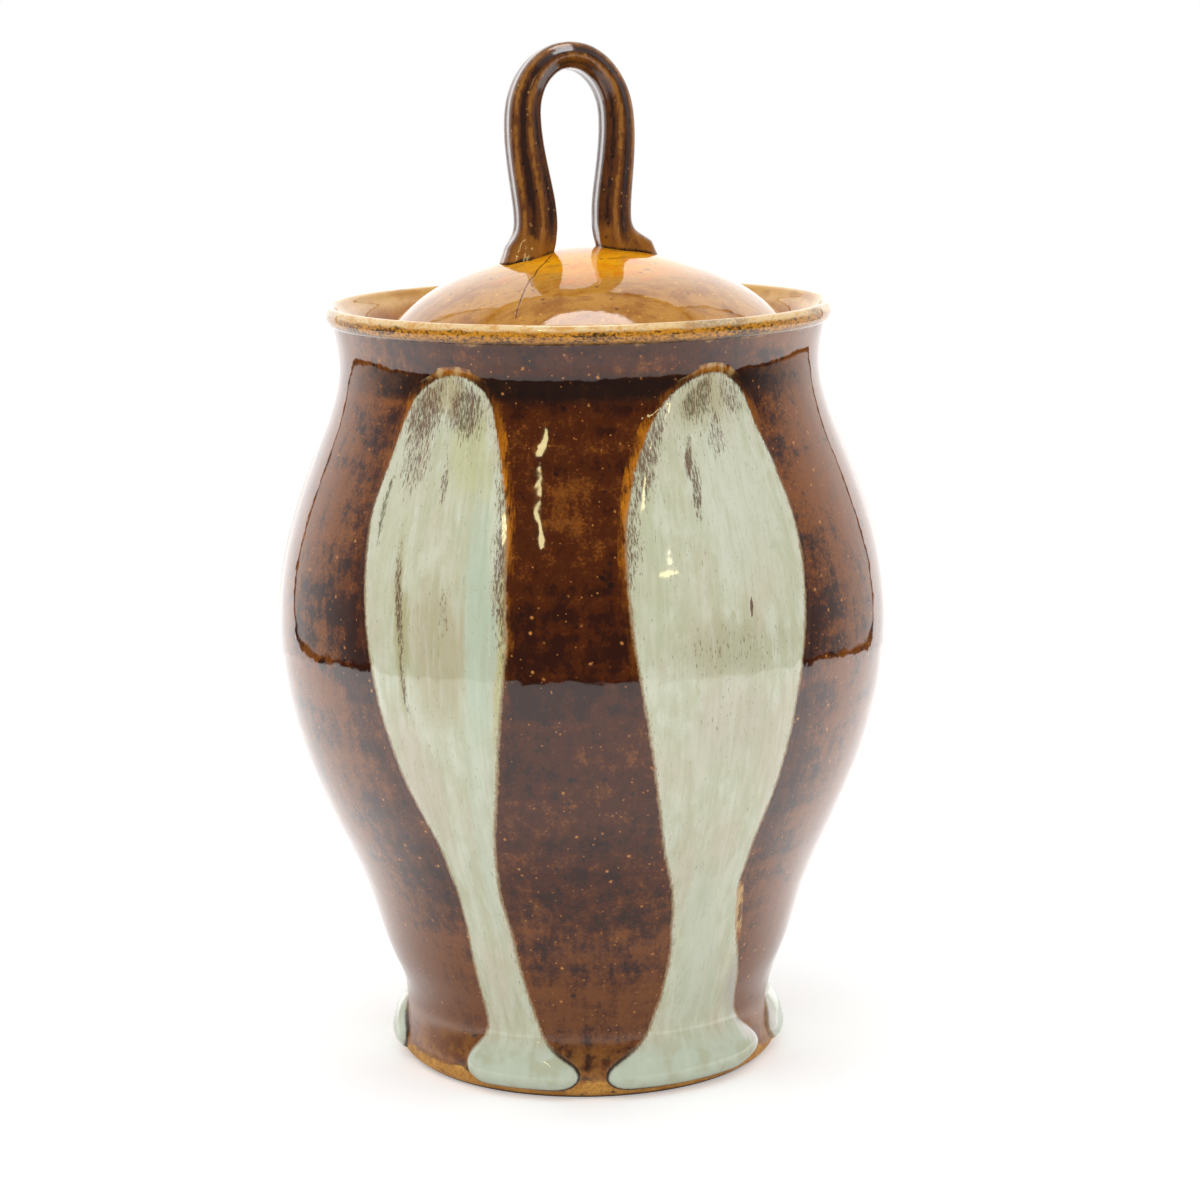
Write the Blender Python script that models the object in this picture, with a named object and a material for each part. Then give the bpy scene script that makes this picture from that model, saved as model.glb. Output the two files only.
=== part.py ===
"""Thrown stoneware storage jar, with a domed lid and a pulled loop handle.

Everything is in metres and +Z is up. The origin is the middle of the foot, on the surface
that the jar stands on. The loop of the handle lies along X, so fingers pass through it along Y.
The jar and the lid are turned about Z. The lid drops into a gallery inside the rim and rests
on a ledge there. Six runs of pale glaze lie on the jar's wall and end in pools at its foot.
"""
from math import cos, exp, pi, radians, sin, sqrt, tan, tau

import bmesh
import bpy
import numpy as np

# The jar, outside
RIM_HEIGHT = 0.185
NECK_DROP = 0.014
NECK_RADIUS = 0.0581
BELLY_HEIGHT = 0.109
BELLY_RADIUS = 0.0739
WAIST_HEIGHT = 0.014
WAIST_RADIUS = 0.0448
FLARE_HEIGHT = 0.006
FLARE_RADIUS = 0.0470
FOOT_RADIUS = 0.04365
FOOT_CHAMFER_HEIGHT = 0.0018
FOOT_CHAMFER_WIDTH = 0.0020

# The rolled lip
LIP_RADIUS = 0.0610
LIP_THICKNESS = 0.0028
LIP_HEIGHT = 0.0046

# The jar, inside
WALL = 0.0055
RIM_WALL = 0.0048
FLOOR_THICKNESS = 0.007
FLOOR_CORNER = 0.008
FOOT_RECESS = 0.0025
FOOT_RING_WIDTH = 0.008
GALLERY_DROP = 0.0115
LEDGE_WIDTH = 0.0073
LEDGE_THICKNESS = 0.0035
LEDGE_HAUNCH = 0.010

# The lid
LID_CLEARANCE = 0.003
LID_PLAY_SHARE = 0.85
LID_RISE = 0.0242
LID_EDGE_HEIGHT = 0.0030
LID_SEAT_WIDTH = 0.006
LID_WALL = 0.005
SEAT_GAP = 0.0003

# The handle
HANDLE_RISE = 0.0486
HANDLE_OFFSET = 0.0033
HANDLE_HALF_WIDTH = 0.0115
HANDLE_ARCH_RISE = 0.0150
HANDLE_THICKNESS = 0.0066
HANDLE_DEPTH = 0.0124
HANDLE_FLUTE = 0.0006
HANDLE_TOE_RADIUS = 0.018
HANDLE_TOE_REACH = 0.0046
HANDLE_TOE_RISE = 0.0044
HANDLE_BACK_LEAN = radians(5)
HANDLE_SIDE_LEAN = radians(0.3)
LUTE_GAP = 0.0003

# The glaze runs
RUN_THICKNESS = 0.0007
RUN_GAP = 0.0003
RUN_TOP_DROP = 0.011
RUN_CROWN = 0.020
RUN_FOOT_HEIGHT = 0.0024
RUN_HALF_WIDTH = 0.0232
POOL_THICKNESS = 0.0015
POOL_HEIGHT = 0.0135

# How finely the pieces are divided
JAR_STEPS = 44
LID_STEPS = 40
RUN_COLUMNS = 9
HANDLE_SIDES = 24
HANDLE_HALF_STEPS = 26
HANDLE_FLUTES = 6
HANDLE_SQUARENESS = 3.2
HANDLE_TOE_ROUNDNESS = 1.5
MERGE_DISTANCE = 1e-6

# Outlines, as shares of the way from one named point to the next
FOOT_CURVE_SHARES = ((0.48, 0.50),)
LOWER_WALL_SHARES = ((0.126, 0.127), (0.316, 0.345), (0.526, 0.648), (0.758, 0.911))
UPPER_WALL_SHARES = ((0.371, 0.226), (0.694, 0.686))
LIP_SHARES = ((0.22, 0.08), (0.03, 0.34), (0.05, 0.72), (0.34, 1.0), (0.72, 0.95), (0.98, 0.70))
GALLERY_SHARES = ((0.22, 0.36), (0.55, 0.72), (0.86, 0.96))
LID_DOME_SHARES = ((0.110, 0.262), (0.284, 0.561), (0.523, 0.792), (0.761, 0.943))
HANDLE_LEG_SHARES = ((0.972, 0.470), (0.895, 0.330), (0.825, 0.200), (0.825, 0.075), (1.080, -0.120))
HANDLE_THICKNESS_SHARES = (
    (0.0, 1.30), (0.2, 1.36), (0.3, 1.34), (0.42, 1.28), (0.6, 1.18), (0.8, 1.05), (1.0, 0.97))
HANDLE_LEFT_GAIN_SHARE = 0.06
HANDLE_LEFT_TOE_SHARE = 0.40

# The edges of a run, top to bottom: its height, and its left and right edge as shares of
# RUN_HALF_TURN. Heights count from the run's foot to its top.
NARROW_RUN_SHARES = (
    (1.000, -0.13, -0.10), (0.985, -0.46, 0.24), (0.965, -0.72, 0.39), (0.930, -0.86, 0.48),
    (0.885, -0.93, 0.59), (0.815, -1.02, 0.71), (0.745, -0.94, 0.72), (0.655, -0.82, 0.75),
    (0.555, -0.67, 0.67), (0.450, -0.48, 0.57), (0.365, -0.25, 0.44), (0.290, -0.20, 0.39),
    (0.210, -0.22, 0.47), (0.125, -0.24, 0.58), (0.070, -0.27, 0.70), (0.050, -0.50, 0.95),
    (0.033, -0.64, 1.33), (0.016, -0.61, 1.40), (0.000, -0.35, 1.05))
BROAD_RUN_SHARES = (
    (1.000, 0.26, 0.29), (0.985, -0.13, 0.52), (0.965, -0.42, 0.71), (0.930, -0.66, 0.80),
    (0.885, -0.87, 0.93), (0.815, -1.03, 1.03), (0.745, -1.05, 1.01), (0.655, -1.00, 0.91),
    (0.555, -0.88, 0.79), (0.450, -0.74, 0.70), (0.365, -0.60, 0.58), (0.290, -0.38, 0.57),
    (0.210, -0.28, 0.80), (0.125, -0.33, 1.18), (0.070, -0.47, 1.39), (0.050, -0.80, 1.65),
    (0.033, -1.15, 1.93), (0.016, -1.30, 1.82), (0.000, -0.95, 1.20))

# The runs, left to right from the front: bearing from -Y towards +X, edges, width, mirrored
RUNS = (
    ("glaze_run_front_left", radians(-41), NARROW_RUN_SHARES, 1.00, False),
    ("glaze_run_front_right", radians(13), BROAD_RUN_SHARES, 1.00, False),
    ("glaze_run_right", radians(86), BROAD_RUN_SHARES, 0.90, True),
    ("glaze_run_back_right", radians(141), NARROW_RUN_SHARES, 1.08, True),
    ("glaze_run_back_left", radians(194), BROAD_RUN_SHARES, 0.94, False),
    ("glaze_run_left", radians(-112), NARROW_RUN_SHARES, 1.15, False),
)

NECK_HEIGHT = RIM_HEIGHT - NECK_DROP
LIP_BOTTOM = RIM_HEIGHT - LIP_HEIGHT
LEDGE_HEIGHT = RIM_HEIGHT - GALLERY_DROP
FLOOR_HEIGHT = FOOT_RECESS + FLOOR_THICKNESS
GALLERY_RADIUS = NECK_RADIUS - RIM_WALL
MOUTH_RADIUS = GALLERY_RADIUS - LEDGE_WIDTH
LID_RADIUS = GALLERY_RADIUS - LID_CLEARANCE
LID_HEIGHT = LEDGE_HEIGHT + SEAT_GAP
LID_SHIFT = LID_CLEARANCE * LID_PLAY_SHARE
RUN_HALF_TURN = RUN_HALF_WIDTH / BELLY_RADIUS


def between(start, end, shares):
    """Points that lie the given shares of the way from start to end."""
    return [tuple(a + (b - a) * s for a, b, s in zip(start, end, pair)) for pair in shares]


def curve_through(points):
    """The natural cubic curve through points sorted by their first number, as a function."""
    xs, ys = (np.array(column, dtype=float) for column in zip(*points))
    gaps = np.diff(xs)
    slopes = np.diff(ys) / gaps
    matrix = np.eye(len(xs))
    right = np.zeros(len(xs))
    for i in range(1, len(xs) - 1):
        matrix[i, i - 1:i + 2] = gaps[i - 1], 2 * (gaps[i - 1] + gaps[i]), gaps[i]
        right[i] = 6 * (slopes[i] - slopes[i - 1])
    bends = np.linalg.solve(matrix, right)

    def value(x):
        i = int(np.clip(np.searchsorted(xs, x) - 1, 0, len(gaps) - 1))
        below, above = x - xs[i], xs[i + 1] - x
        cubic = (bends[i] * above**3 + bends[i + 1] * below**3) / (6 * gaps[i])
        line = (ys[i] * above + ys[i + 1] * below) / gaps[i]
        pull = (bends[i] * above + bends[i + 1] * below) * gaps[i] / 6
        return float(cubic + line - pull)

    return value


def line_through(points):
    """The broken line through points sorted by their first number, as a function."""
    xs, ys = zip(*points)
    return lambda x: float(np.interp(x, xs, ys))


def steps_between(start, end, count):
    """Evenly spaced values from start to just before end."""
    return [start + (end - start) * i / count for i in range(count)]


def jar_wall():
    """The wall's outer line from the foot's flare to the lip, as (height, radius) rows."""
    flare = (FLARE_HEIGHT, FLARE_RADIUS)
    waist = (WAIST_HEIGHT, WAIST_RADIUS)
    belly = (BELLY_HEIGHT, BELLY_RADIUS)
    neck = (NECK_HEIGHT, NECK_RADIUS)
    lip = (LIP_BOTTOM, LIP_RADIUS - LIP_THICKNESS * 0.55)
    points = [flare, *between(flare, waist, FOOT_CURVE_SHARES), waist]
    points += [*between(waist, belly, LOWER_WALL_SHARES), belly]
    points += [*between(belly, neck, UPPER_WALL_SHARES), neck, lip]
    radius_at = curve_through(points)
    heights = steps_between(FLARE_HEIGHT, WAIST_HEIGHT, 3)
    heights += steps_between(WAIST_HEIGHT, BELLY_HEIGHT, 10)
    heights += steps_between(BELLY_HEIGHT, NECK_HEIGHT, 8)
    heights += steps_between(NECK_HEIGHT, LIP_BOTTOM, 3)
    return [(height, radius_at(height)) for height in heights + [LIP_BOTTOM]]


def turned(name, outline, steps, material):
    """A piece turned about Z from an outline of (radius, height) points that starts and ends on Z."""
    mesh = bpy.data.meshes.new(name)
    shape = bmesh.new()
    points = [shape.verts.new((radius, 0, height)) for radius, height in outline]
    edges = [shape.edges.new(pair) for pair in zip(points, points[1:])]
    bmesh.ops.spin(shape, geom=points + edges, cent=(0, 0, 0), axis=(0, 0, 1), angle=tau, steps=steps)
    return finished(name, mesh, shape, material)


def finished(name, mesh, shape, material):
    """Close and shade the shape, and put it in the scene as an object."""
    bmesh.ops.remove_doubles(shape, verts=shape.verts, dist=MERGE_DISTANCE)
    bmesh.ops.recalc_face_normals(shape, faces=shape.faces)
    shape.to_mesh(mesh)
    shape.free()
    mesh.materials.append(material)
    mesh.shade_smooth()
    mesh.set_sharp_from_angle(angle=radians(50))
    piece = bpy.data.objects.new(name, mesh)
    bpy.context.collection.objects.link(piece)
    return piece


def glaze(name, colour, roughness):
    """A glazed or bare ceramic surface."""
    material = bpy.data.materials.new(name)
    material.use_nodes = True
    shader = material.node_tree.nodes["Principled BSDF"]
    shader.inputs["Base Color"].default_value = (*colour, 1)
    shader.inputs["Roughness"].default_value = roughness
    shader.inputs["Metallic"].default_value = 0
    material.diffuse_color = (*colour, 1)
    return material


def jar_outline(wall):
    """The jar's section, from the middle of its floor, over the rim, to the middle of its foot."""
    outer = line_through(wall)
    corner_top = FLOOR_HEIGHT + FLOOR_CORNER
    haunch_top = LEDGE_HEIGHT - LEDGE_THICKNESS
    haunch_bottom = haunch_top - LEDGE_HAUNCH
    corner_radius = outer(corner_top) - WALL - FLOOR_CORNER
    inside = [(0, FLOOR_HEIGHT)]
    for turn in steps_between(0, pi / 2, 4):
        inside.append((corner_radius + FLOOR_CORNER * sin(turn), corner_top - FLOOR_CORNER * cos(turn)))
    for height in steps_between(corner_top, haunch_bottom, 9) + [haunch_bottom]:
        inside.append((outer(height) - WALL, height))
    inside += [(MOUTH_RADIUS, haunch_top), (MOUTH_RADIUS, LEDGE_HEIGHT), (GALLERY_RADIUS, LEDGE_HEIGHT)]
    lip = []
    for across, up in LIP_SHARES:
        lip.append((LIP_RADIUS - LIP_THICKNESS * across, LIP_BOTTOM + LIP_HEIGHT * up))
    gallery = between(lip[-1], (GALLERY_RADIUS, LEDGE_HEIGHT), [(b, a) for a, b in GALLERY_SHARES])
    outside = [(radius, height) for height, radius in wall]
    ring_radius = FOOT_RADIUS - FOOT_RING_WIDTH
    foot = [
        (0, FOOT_RECESS),
        (ring_radius - FOOT_RECESS, FOOT_RECESS),
        (ring_radius, 0),
        (FOOT_RADIUS, 0),
        (FOOT_RADIUS + FOOT_CHAMFER_WIDTH, FOOT_CHAMFER_HEIGHT)]
    return inside + gallery[::-1] + lip[::-1] + outside[::-1] + foot[::-1]


def lid_dome():
    """The lid's outer line, as a function from radius to height above its seat."""
    shoulder = (LID_RADIUS, LID_EDGE_HEIGHT)
    apex = (0, LID_RISE)
    half = [shoulder, *between(shoulder, apex, LID_DOME_SHARES), apex]
    return curve_through([(-radius, height) for radius, height in half] + half[-2::-1])


def lid_outline(dome):
    """The lid's section, from the middle of its underside, round its edge, to its apex."""
    hollow_radius = LID_RADIUS - LID_SEAT_WIDTH
    hollow_rise = LID_RISE - LID_WALL
    inside = []
    for turn in steps_between(0, pi / 2, 9):
        inside.append((hollow_radius * sin(turn), hollow_rise * cos(turn)**1.25))
    seat = [
        (hollow_radius, 0),
        (LID_RADIUS - LID_EDGE_HEIGHT * 0.4, 0),
        (LID_RADIUS, LID_EDGE_HEIGHT * 0.45)]
    outside = []
    for turn in steps_between(pi / 2, 0, 12):
        radius = LID_RADIUS * sin(turn)
        outside.append((radius, dome(radius)))
    return inside + seat + outside + [(0, LID_RISE)]


def half_loop(side):
    """Points on the middle line of one half of the loop, from below the lid's surface to the top.

    The side is -1 or 1. Points are (across, up) from the loop's middle on the lid's apex.
    """
    arch_foot = HANDLE_RISE - HANDLE_THICKNESS / 2 - HANDLE_ARCH_RISE
    points = [(HANDLE_HALF_WIDTH * across, HANDLE_RISE * up) for across, up in HANDLE_LEG_SHARES[::-1]]
    for turn in steps_between(0, pi / 2, 6) + [pi / 2]:
        points.append((HANDLE_HALF_WIDTH * cos(turn), arch_foot + HANDLE_ARCH_RISE * sin(turn)))
    return [(side * across, up) for across, up in even_points(points, HANDLE_HALF_STEPS)]


def even_points(points, count):
    """Points an even way apart on the smooth curve through points."""
    lengths = [0.0]
    for (x0, z0), (x1, z1) in zip(points, points[1:]):
        lengths.append(lengths[-1] + sqrt((x1 - x0)**2 + (z1 - z0)**2))
    across = curve_through([(length, x) for length, (x, _) in zip(lengths, points)])
    up = curve_through([(length, z) for length, (_, z) in zip(lengths, points)])
    places = [lengths[-1] * i / count for i in range(count + 1)]
    return [(across(place), up(place)) for place in places]


def handle_section(side):
    """One point of the strap's fluted section: shares of its thickness, its depth and its toe."""
    turn = tau * side / HANDLE_SIDES
    across, deep = cos(turn), sin(turn)
    reach = (abs(across)**HANDLE_SQUARENESS + abs(deep)**HANDLE_SQUARENESS)**(-1 / HANDLE_SQUARENESS)
    reach -= cos(HANDLE_FLUTES * turn) * HANDLE_FLUTE / HANDLE_DEPTH
    return across * reach / 2, deep * reach / 2, max(0.0, across)**HANDLE_TOE_ROUNDNESS


def handle_shape(dome):
    """The strap, swept along the whole loop, with its feet running on below the lid's surface.

    The left leg is a little thicker than the right one, and each foot is smeared outwards into
    a toe that dies away up the leg. The loop leans back and a little to the left.
    """
    path = half_loop(-1) + half_loop(1)[-2::-1]
    thickness = line_through(HANDLE_THICKNESS_SHARES)
    toe_tip = dome(HANDLE_TOE_RADIUS) - LID_RISE
    shape = bmesh.new()
    rings = []
    last = len(path) - 1
    for i, (x, z) in enumerate(path):
        ahead, behind = path[min(i + 1, last)], path[max(i - 1, 0)]
        along = np.array([ahead[0] - behind[0], ahead[1] - behind[1]])
        along /= np.linalg.norm(along)
        way = 2 * i / last - 1
        thick = HANDLE_THICKNESS * thickness(1 - abs(way))
        thick *= 1 - HANDLE_LEFT_GAIN_SHARE * sin(way * pi / 2)
        toe = HANDLE_TOE_REACH * exp(-(max(0.0, z - toe_tip) / HANDLE_TOE_RISE)**2)
        if way < 0:
            toe *= HANDLE_LEFT_TOE_SHARE
        ring = []
        for side in range(HANDLE_SIDES):
            out, back, outward = handle_section(side)
            out = out * thick + outward * toe
            back *= HANDLE_DEPTH
            up = z + along[0] * out
            py = back * cos(HANDLE_BACK_LEAN) + up * sin(HANDLE_BACK_LEAN)
            pz = up * cos(HANDLE_BACK_LEAN) - back * sin(HANDLE_BACK_LEAN)
            ring.append(shape.verts.new((x - along[1] * out - pz * tan(HANDLE_SIDE_LEAN), py, pz)))
        rings.append(ring)
    for ring, following in zip(rings, rings[1:]):
        for side in range(HANDLE_SIDES):
            after = (side + 1) % HANDLE_SIDES
            shape.faces.new((ring[side], ring[after], following[after], following[side]))
    shape.faces.new(rings[0][::-1])
    shape.faces.new(rings[-1])
    return shape


def run_grid(wall, bearing, edges, width, mirrored):
    """The run's rows from top to bottom: height, left and right bearing, and glaze thickness."""
    run_top = RIM_HEIGHT - RUN_TOP_DROP
    run_rise = run_top - RUN_FOOT_HEIGHT
    left = line_through([(up, share) for up, share, _ in edges[::-1]])
    right = line_through([(up, share) for up, _, share in edges[::-1]])
    heights = [RUN_FOOT_HEIGHT, (RUN_FOOT_HEIGHT + FLARE_HEIGHT) / 2]
    heights += [height for height, _ in wall if RUN_FOOT_HEIGHT < height < run_top - RUN_CROWN]
    crown = [up for up, _, _ in edges if (1 - up) * run_rise < RUN_CROWN]
    heights += [RUN_FOOT_HEIGHT + run_rise * up for up in crown]
    pool_middle = (RUN_FOOT_HEIGHT + POOL_HEIGHT) / 2
    rows = []
    for height in sorted(heights, reverse=True):
        up = (height - RUN_FOOT_HEIGHT) / run_rise
        span = [left(up) * RUN_HALF_TURN * width, right(up) * RUN_HALF_TURN * width]
        if mirrored:
            span = [-span[1], -span[0]]
        bulge = max(0.0, 1 - ((height - pool_middle) / (POOL_HEIGHT - pool_middle))**2)
        thick = RUN_THICKNESS + POOL_THICKNESS * bulge
        rows.append((height, bearing + span[0], bearing + span[1], thick))
    return rows


def run_shape(wall, rows):
    """A thin closed layer that lies a gap away from the wall, thickest along its middle."""
    foot = [(0, FOOT_RADIUS), (FOOT_CHAMFER_HEIGHT, FOOT_RADIUS + FOOT_CHAMFER_WIDTH)]
    radius_at = line_through(foot + wall)
    shape = bmesh.new()
    inner, outer = [], []
    for number, (height, start, end, thickness) in enumerate(rows):
        ends = number in (0, len(rows) - 1)
        inner.append([])
        outer.append([])
        chord = cos((end - start) / 2 * sin(pi / (RUN_COLUMNS - 1)) / 2)
        for column in range(RUN_COLUMNS):
            share = -cos(pi * column / (RUN_COLUMNS - 1))
            turn = (start + end) / 2 + (end - start) / 2 * share
            fullness = 0.3 if ends else 0.3 + 0.7 * sqrt(1 - share**2)
            for layer, radius in ((inner, RUN_GAP), (outer, RUN_GAP + thickness * fullness)):
                radius += radius_at(height) / chord
                layer[-1].append(shape.verts.new((radius * sin(turn), -radius * cos(turn), height)))
    for layer in (inner, outer):
        for row, below in zip(layer, layer[1:]):
            for corner in range(RUN_COLUMNS - 1):
                shape.faces.new((row[corner], row[corner + 1], below[corner + 1], below[corner]))
    border = border_of(inner), border_of(outer)
    for i in range(len(border[0])):
        shape.faces.new((border[0][i - 1], border[0][i], border[1][i], border[1][i - 1]))
    return shape


def border_of(grid):
    """The corner points round the edge of a grid, in order."""
    sides = [row[-1] for row in grid[1:-1]]
    return grid[0] + sides + grid[-1][::-1] + [row[0] for row in grid[-2:0:-1]]


def cut_away(piece, cutter):
    """Cut the piece by the cutter, which stays in the scene as a wire guide."""
    cut = piece.modifiers.new("cut", "BOOLEAN")
    cut.operation = "DIFFERENCE"
    cut.solver = "EXACT"
    cut.object = cutter
    cutter.hide_render = True
    cutter.display_type = "WIRE"


def main():
    for thing in list(bpy.data.objects):
        bpy.data.objects.remove(thing, do_unlink=True)

    body_glaze = glaze("brown_glaze", (0.10, 0.028, 0.008), 0.12)
    lid_glaze = glaze("amber_glaze", (0.42, 0.13, 0.012), 0.12)
    handle_glaze = glaze("dark_handle_glaze", (0.13, 0.042, 0.012), 0.12)
    run_glaze = glaze("celadon_glaze", (0.54, 0.54, 0.40), 0.15)

    wall = jar_wall()
    jar = turned("jar_body", jar_outline(wall), JAR_STEPS, body_glaze)

    dome = lid_dome()
    lid = turned("lid", lid_outline(dome), LID_STEPS, lid_glaze)
    lid.location = (LID_SHIFT, 0, LID_HEIGHT)

    handle = finished("lid_handle", bpy.data.meshes.new("lid_handle"), handle_shape(dome), handle_glaze)
    handle.parent = lid
    handle.location = (-HANDLE_OFFSET, 0, LID_RISE)

    dome_points = steps_between(LID_RADIUS, 0, 16)
    below = [(0, LUTE_GAP - LID_RISE), (LID_RADIUS, LUTE_GAP - LID_RISE)]
    cutter_outline = below + [(radius, dome(radius) + LUTE_GAP) for radius in dome_points]
    cutter = turned("dome_cutter", cutter_outline + [(0, LID_RISE + LUTE_GAP)], LID_STEPS, lid_glaze)
    cutter.parent = lid
    cut_away(handle, cutter)

    for name, bearing, edges, width, mirrored in RUNS:
        rows = run_grid(wall, bearing, edges, width, mirrored)
        run = finished(name, bpy.data.meshes.new(name), run_shape(wall, rows), run_glaze)
        run.parent = jar


main()
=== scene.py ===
"""The looks of a thrown stoneware jar with a domed lid, a pulled loop handle and poured glaze runs.

Everything is in metres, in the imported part's own frame. Each visible piece stands for one solid
of the part and stays where that solid is. The jar and the lid are turned from a profile by
Geometry Nodes, the handle is swept along its loop, and each glaze run is a thin layer that is
laid on the finished wall of the jar.
"""
from math import cos, exp, pi, radians, sin, tan, tau
from types import SimpleNamespace

import bmesh
import bpy
import numpy as np
from mathutils import Matrix, Vector
from mathutils.bvhtree import BVHTree


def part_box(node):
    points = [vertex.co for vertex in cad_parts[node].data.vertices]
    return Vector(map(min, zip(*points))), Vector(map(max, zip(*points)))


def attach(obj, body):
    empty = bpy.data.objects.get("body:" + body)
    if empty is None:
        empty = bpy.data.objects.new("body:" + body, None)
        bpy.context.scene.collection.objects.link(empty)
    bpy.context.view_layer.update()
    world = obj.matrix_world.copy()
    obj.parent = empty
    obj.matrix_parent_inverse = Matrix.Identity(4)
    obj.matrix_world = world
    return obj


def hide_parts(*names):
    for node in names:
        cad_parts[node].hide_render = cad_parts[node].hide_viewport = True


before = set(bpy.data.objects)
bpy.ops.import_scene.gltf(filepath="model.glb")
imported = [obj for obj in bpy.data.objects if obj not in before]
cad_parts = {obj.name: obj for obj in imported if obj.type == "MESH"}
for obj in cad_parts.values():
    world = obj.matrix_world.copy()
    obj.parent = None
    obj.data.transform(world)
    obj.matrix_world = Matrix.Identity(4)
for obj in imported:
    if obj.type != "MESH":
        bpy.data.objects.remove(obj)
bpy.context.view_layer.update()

MM = 0.001

# Sizes that the frame gives
JAR_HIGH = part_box("jar_body")[1]
LID_LOW, LID_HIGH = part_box("lid")
HANDLE_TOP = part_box("lid_handle")[1].z
RIM_HEIGHT = JAR_HIGH.z
BELLY_RADIUS = JAR_HIGH.x
LID_RADIUS = (LID_HIGH.x - LID_LOW.x) / 2
LID_MIDDLE = (LID_HIGH.x + LID_LOW.x) / 2
LID_SEAT = LID_LOW.z
LID_RISE = LID_HIGH.z - LID_LOW.z

# The jar, outside and inside, as in the part
NECK_DROP = 14 * MM
NECK_RADIUS = 58.1 * MM
BELLY_HEIGHT = 109 * MM
WAIST_HEIGHT = 14 * MM
WAIST_RADIUS = 44.8 * MM
FLARE_HEIGHT = 6 * MM
FLARE_RADIUS = 47 * MM
FLARE_ROUNDING = 2 * MM
FOOT_RADIUS = 43.65 * MM
FOOT_RING_WIDTH = 8 * MM
FOOT_RECESS = 2.5 * MM
LIP_RADIUS = 61 * MM
LIP_THICKNESS = 2.8 * MM
LIP_HEIGHT = 4.6 * MM
WALL = 5.5 * MM
RIM_WALL = 4.8 * MM
FLOOR_HEIGHT = 9.5 * MM
FLOOR_CORNER = 8 * MM
GALLERY_DROP = 11.5 * MM
LEDGE_WIDTH = 7.3 * MM
LEDGE_THICKNESS = 3.5 * MM
LEDGE_HAUNCH = 10 * MM
LIP_BOTTOM = RIM_HEIGHT - LIP_HEIGHT
LEDGE_HEIGHT = RIM_HEIGHT - GALLERY_DROP
GALLERY_RADIUS = NECK_RADIUS - RIM_WALL
RIM_INSIDE = GALLERY_RADIUS + RIM_WALL / 2
RIM_SLOPE = 0.376
MOUTH_RADIUS = GALLERY_RADIUS - LEDGE_WIDTH

# The lid and the handle, as in the part
LID_EDGE_HEIGHT = 3 * MM
LID_SEAT_WIDTH = 6 * MM
LID_WALL = 5 * MM
HANDLE_RISE = HANDLE_TOP - LID_HIGH.z - 0.05 * MM
HANDLE_OFFSET = 3.3 * MM
HANDLE_HALF_WIDTH = 11.5 * MM
HANDLE_ARCH_RISE = 15 * MM
HANDLE_THICKNESS = 6.6 * MM
HANDLE_DEPTH = 12.4 * MM
HANDLE_FLUTE = 0.6 * MM
HANDLE_TOE_RADIUS = 18 * MM
HANDLE_TOE_REACH = 4.6 * MM
HANDLE_TOE_RISE = 4.4 * MM
HANDLE_BACK_LEAN = radians(5)
HANDLE_SIDE_LEAN = radians(0.3)
HANDLE_SINK = 0.5 * MM

# The hairline crack in the lid's glaze, from the lid's middle
CRACK_START = Vector((-10.2, -6.8)) * MM
CRACK_END = Vector((-25.9, -33.6)) * MM
CRACK_BOW = 0.6 * MM
CRACK_WIDTH = 0.20 * MM

# The glaze runs
RUN_TOP = RIM_HEIGHT - 11 * MM
RUN_FOOT = 2.4 * MM
RUN_HALF_TURN = 23.2 * MM / BELLY_RADIUS
RUN_MARGIN = 3.4 * MM
RUN_ROUNDING = 4 * MM
RUN_SINK = 0.3 * MM
RUN_DIP = 0.05 * MM
RUN_EDGE = 0.03 * MM
RUN_FILM = 0.30 * MM
POOL_TOP = 15 * MM
POOL_SHOULDER = 9.5 * MM
POOL_THICKNESS = 1.5 * MM
POOL_ROUNDING = 4 * MM
OUTLINE_STEP = 0.5 * MM
RUN_TUCK = 1.8 * MM
RUN_LEAST_HALF_WIDTH = 4 * MM

# How a run's layer grows from its edge inwards. Its skirt ends, its film starts and its pool starts
# so far outside the edge, and the film is full so far inside it.
RUN_SKIRT = 1.2 * MM
RUN_FILM_OUT = 0.8 * MM
RUN_FILM_IN = 2.4 * MM
POOL_OUT = 0.3 * MM

# Throwing rings, and how far the jar's wall strays from round
JAR_RING_DEPTH = 0.09 * MM
JAR_RING_PITCH = 5.5 * MM
JAR_WOBBLE = 0.12 * MM
WOBBLE_BEARING = 0.7
RING_WANDER = 0.35
LID_RING_DEPTH = 0.06 * MM
LID_RING_PITCH = 4 * MM

# Outlines, as shares of the way from one named point to the next
LOWER_WALL_SHARES = ((0.126, 0.127), (0.316, 0.345), (0.526, 0.648), (0.758, 0.911))
UPPER_WALL_SHARES = ((0.371, 0.226), (0.694, 0.686))
LIP_SHARES = ((0.22, 0.08), (0.03, 0.34), (0.05, 0.72), (0.34, 1.0), (0.72, 0.95), (0.98, 0.70))
GALLERY_SHARES = ((0.36, 0.22), (0.72, 0.55), (0.96, 0.86))
LID_DOME_SHARES = ((0.110, 0.262), (0.284, 0.561), (0.523, 0.792), (0.761, 0.943))
HANDLE_LEG_SHARES = ((0.972, 0.470), (0.895, 0.330), (0.825, 0.200), (0.825, 0.075), (1.080, -0.120))
HANDLE_THICKNESS_SHARES = (
    (0.0, 1.30), (0.2, 1.36), (0.3, 1.34), (0.42, 1.28), (0.6, 1.18), (0.8, 1.05), (1.0, 0.97))
HANDLE_LEFT_GAIN_SHARE = 0.06
HANDLE_LEFT_TOE_SHARE = 0.40

# Light and dark lines along the strap: middle and width as shares of its half width, and level
HANDLE_SHADES = ((-0.10, 0.20, 1.0), (0.76, 0.15, 0.9), (0.34, 0.20, -1.0), (-0.58, 0.14, -0.7))

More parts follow.
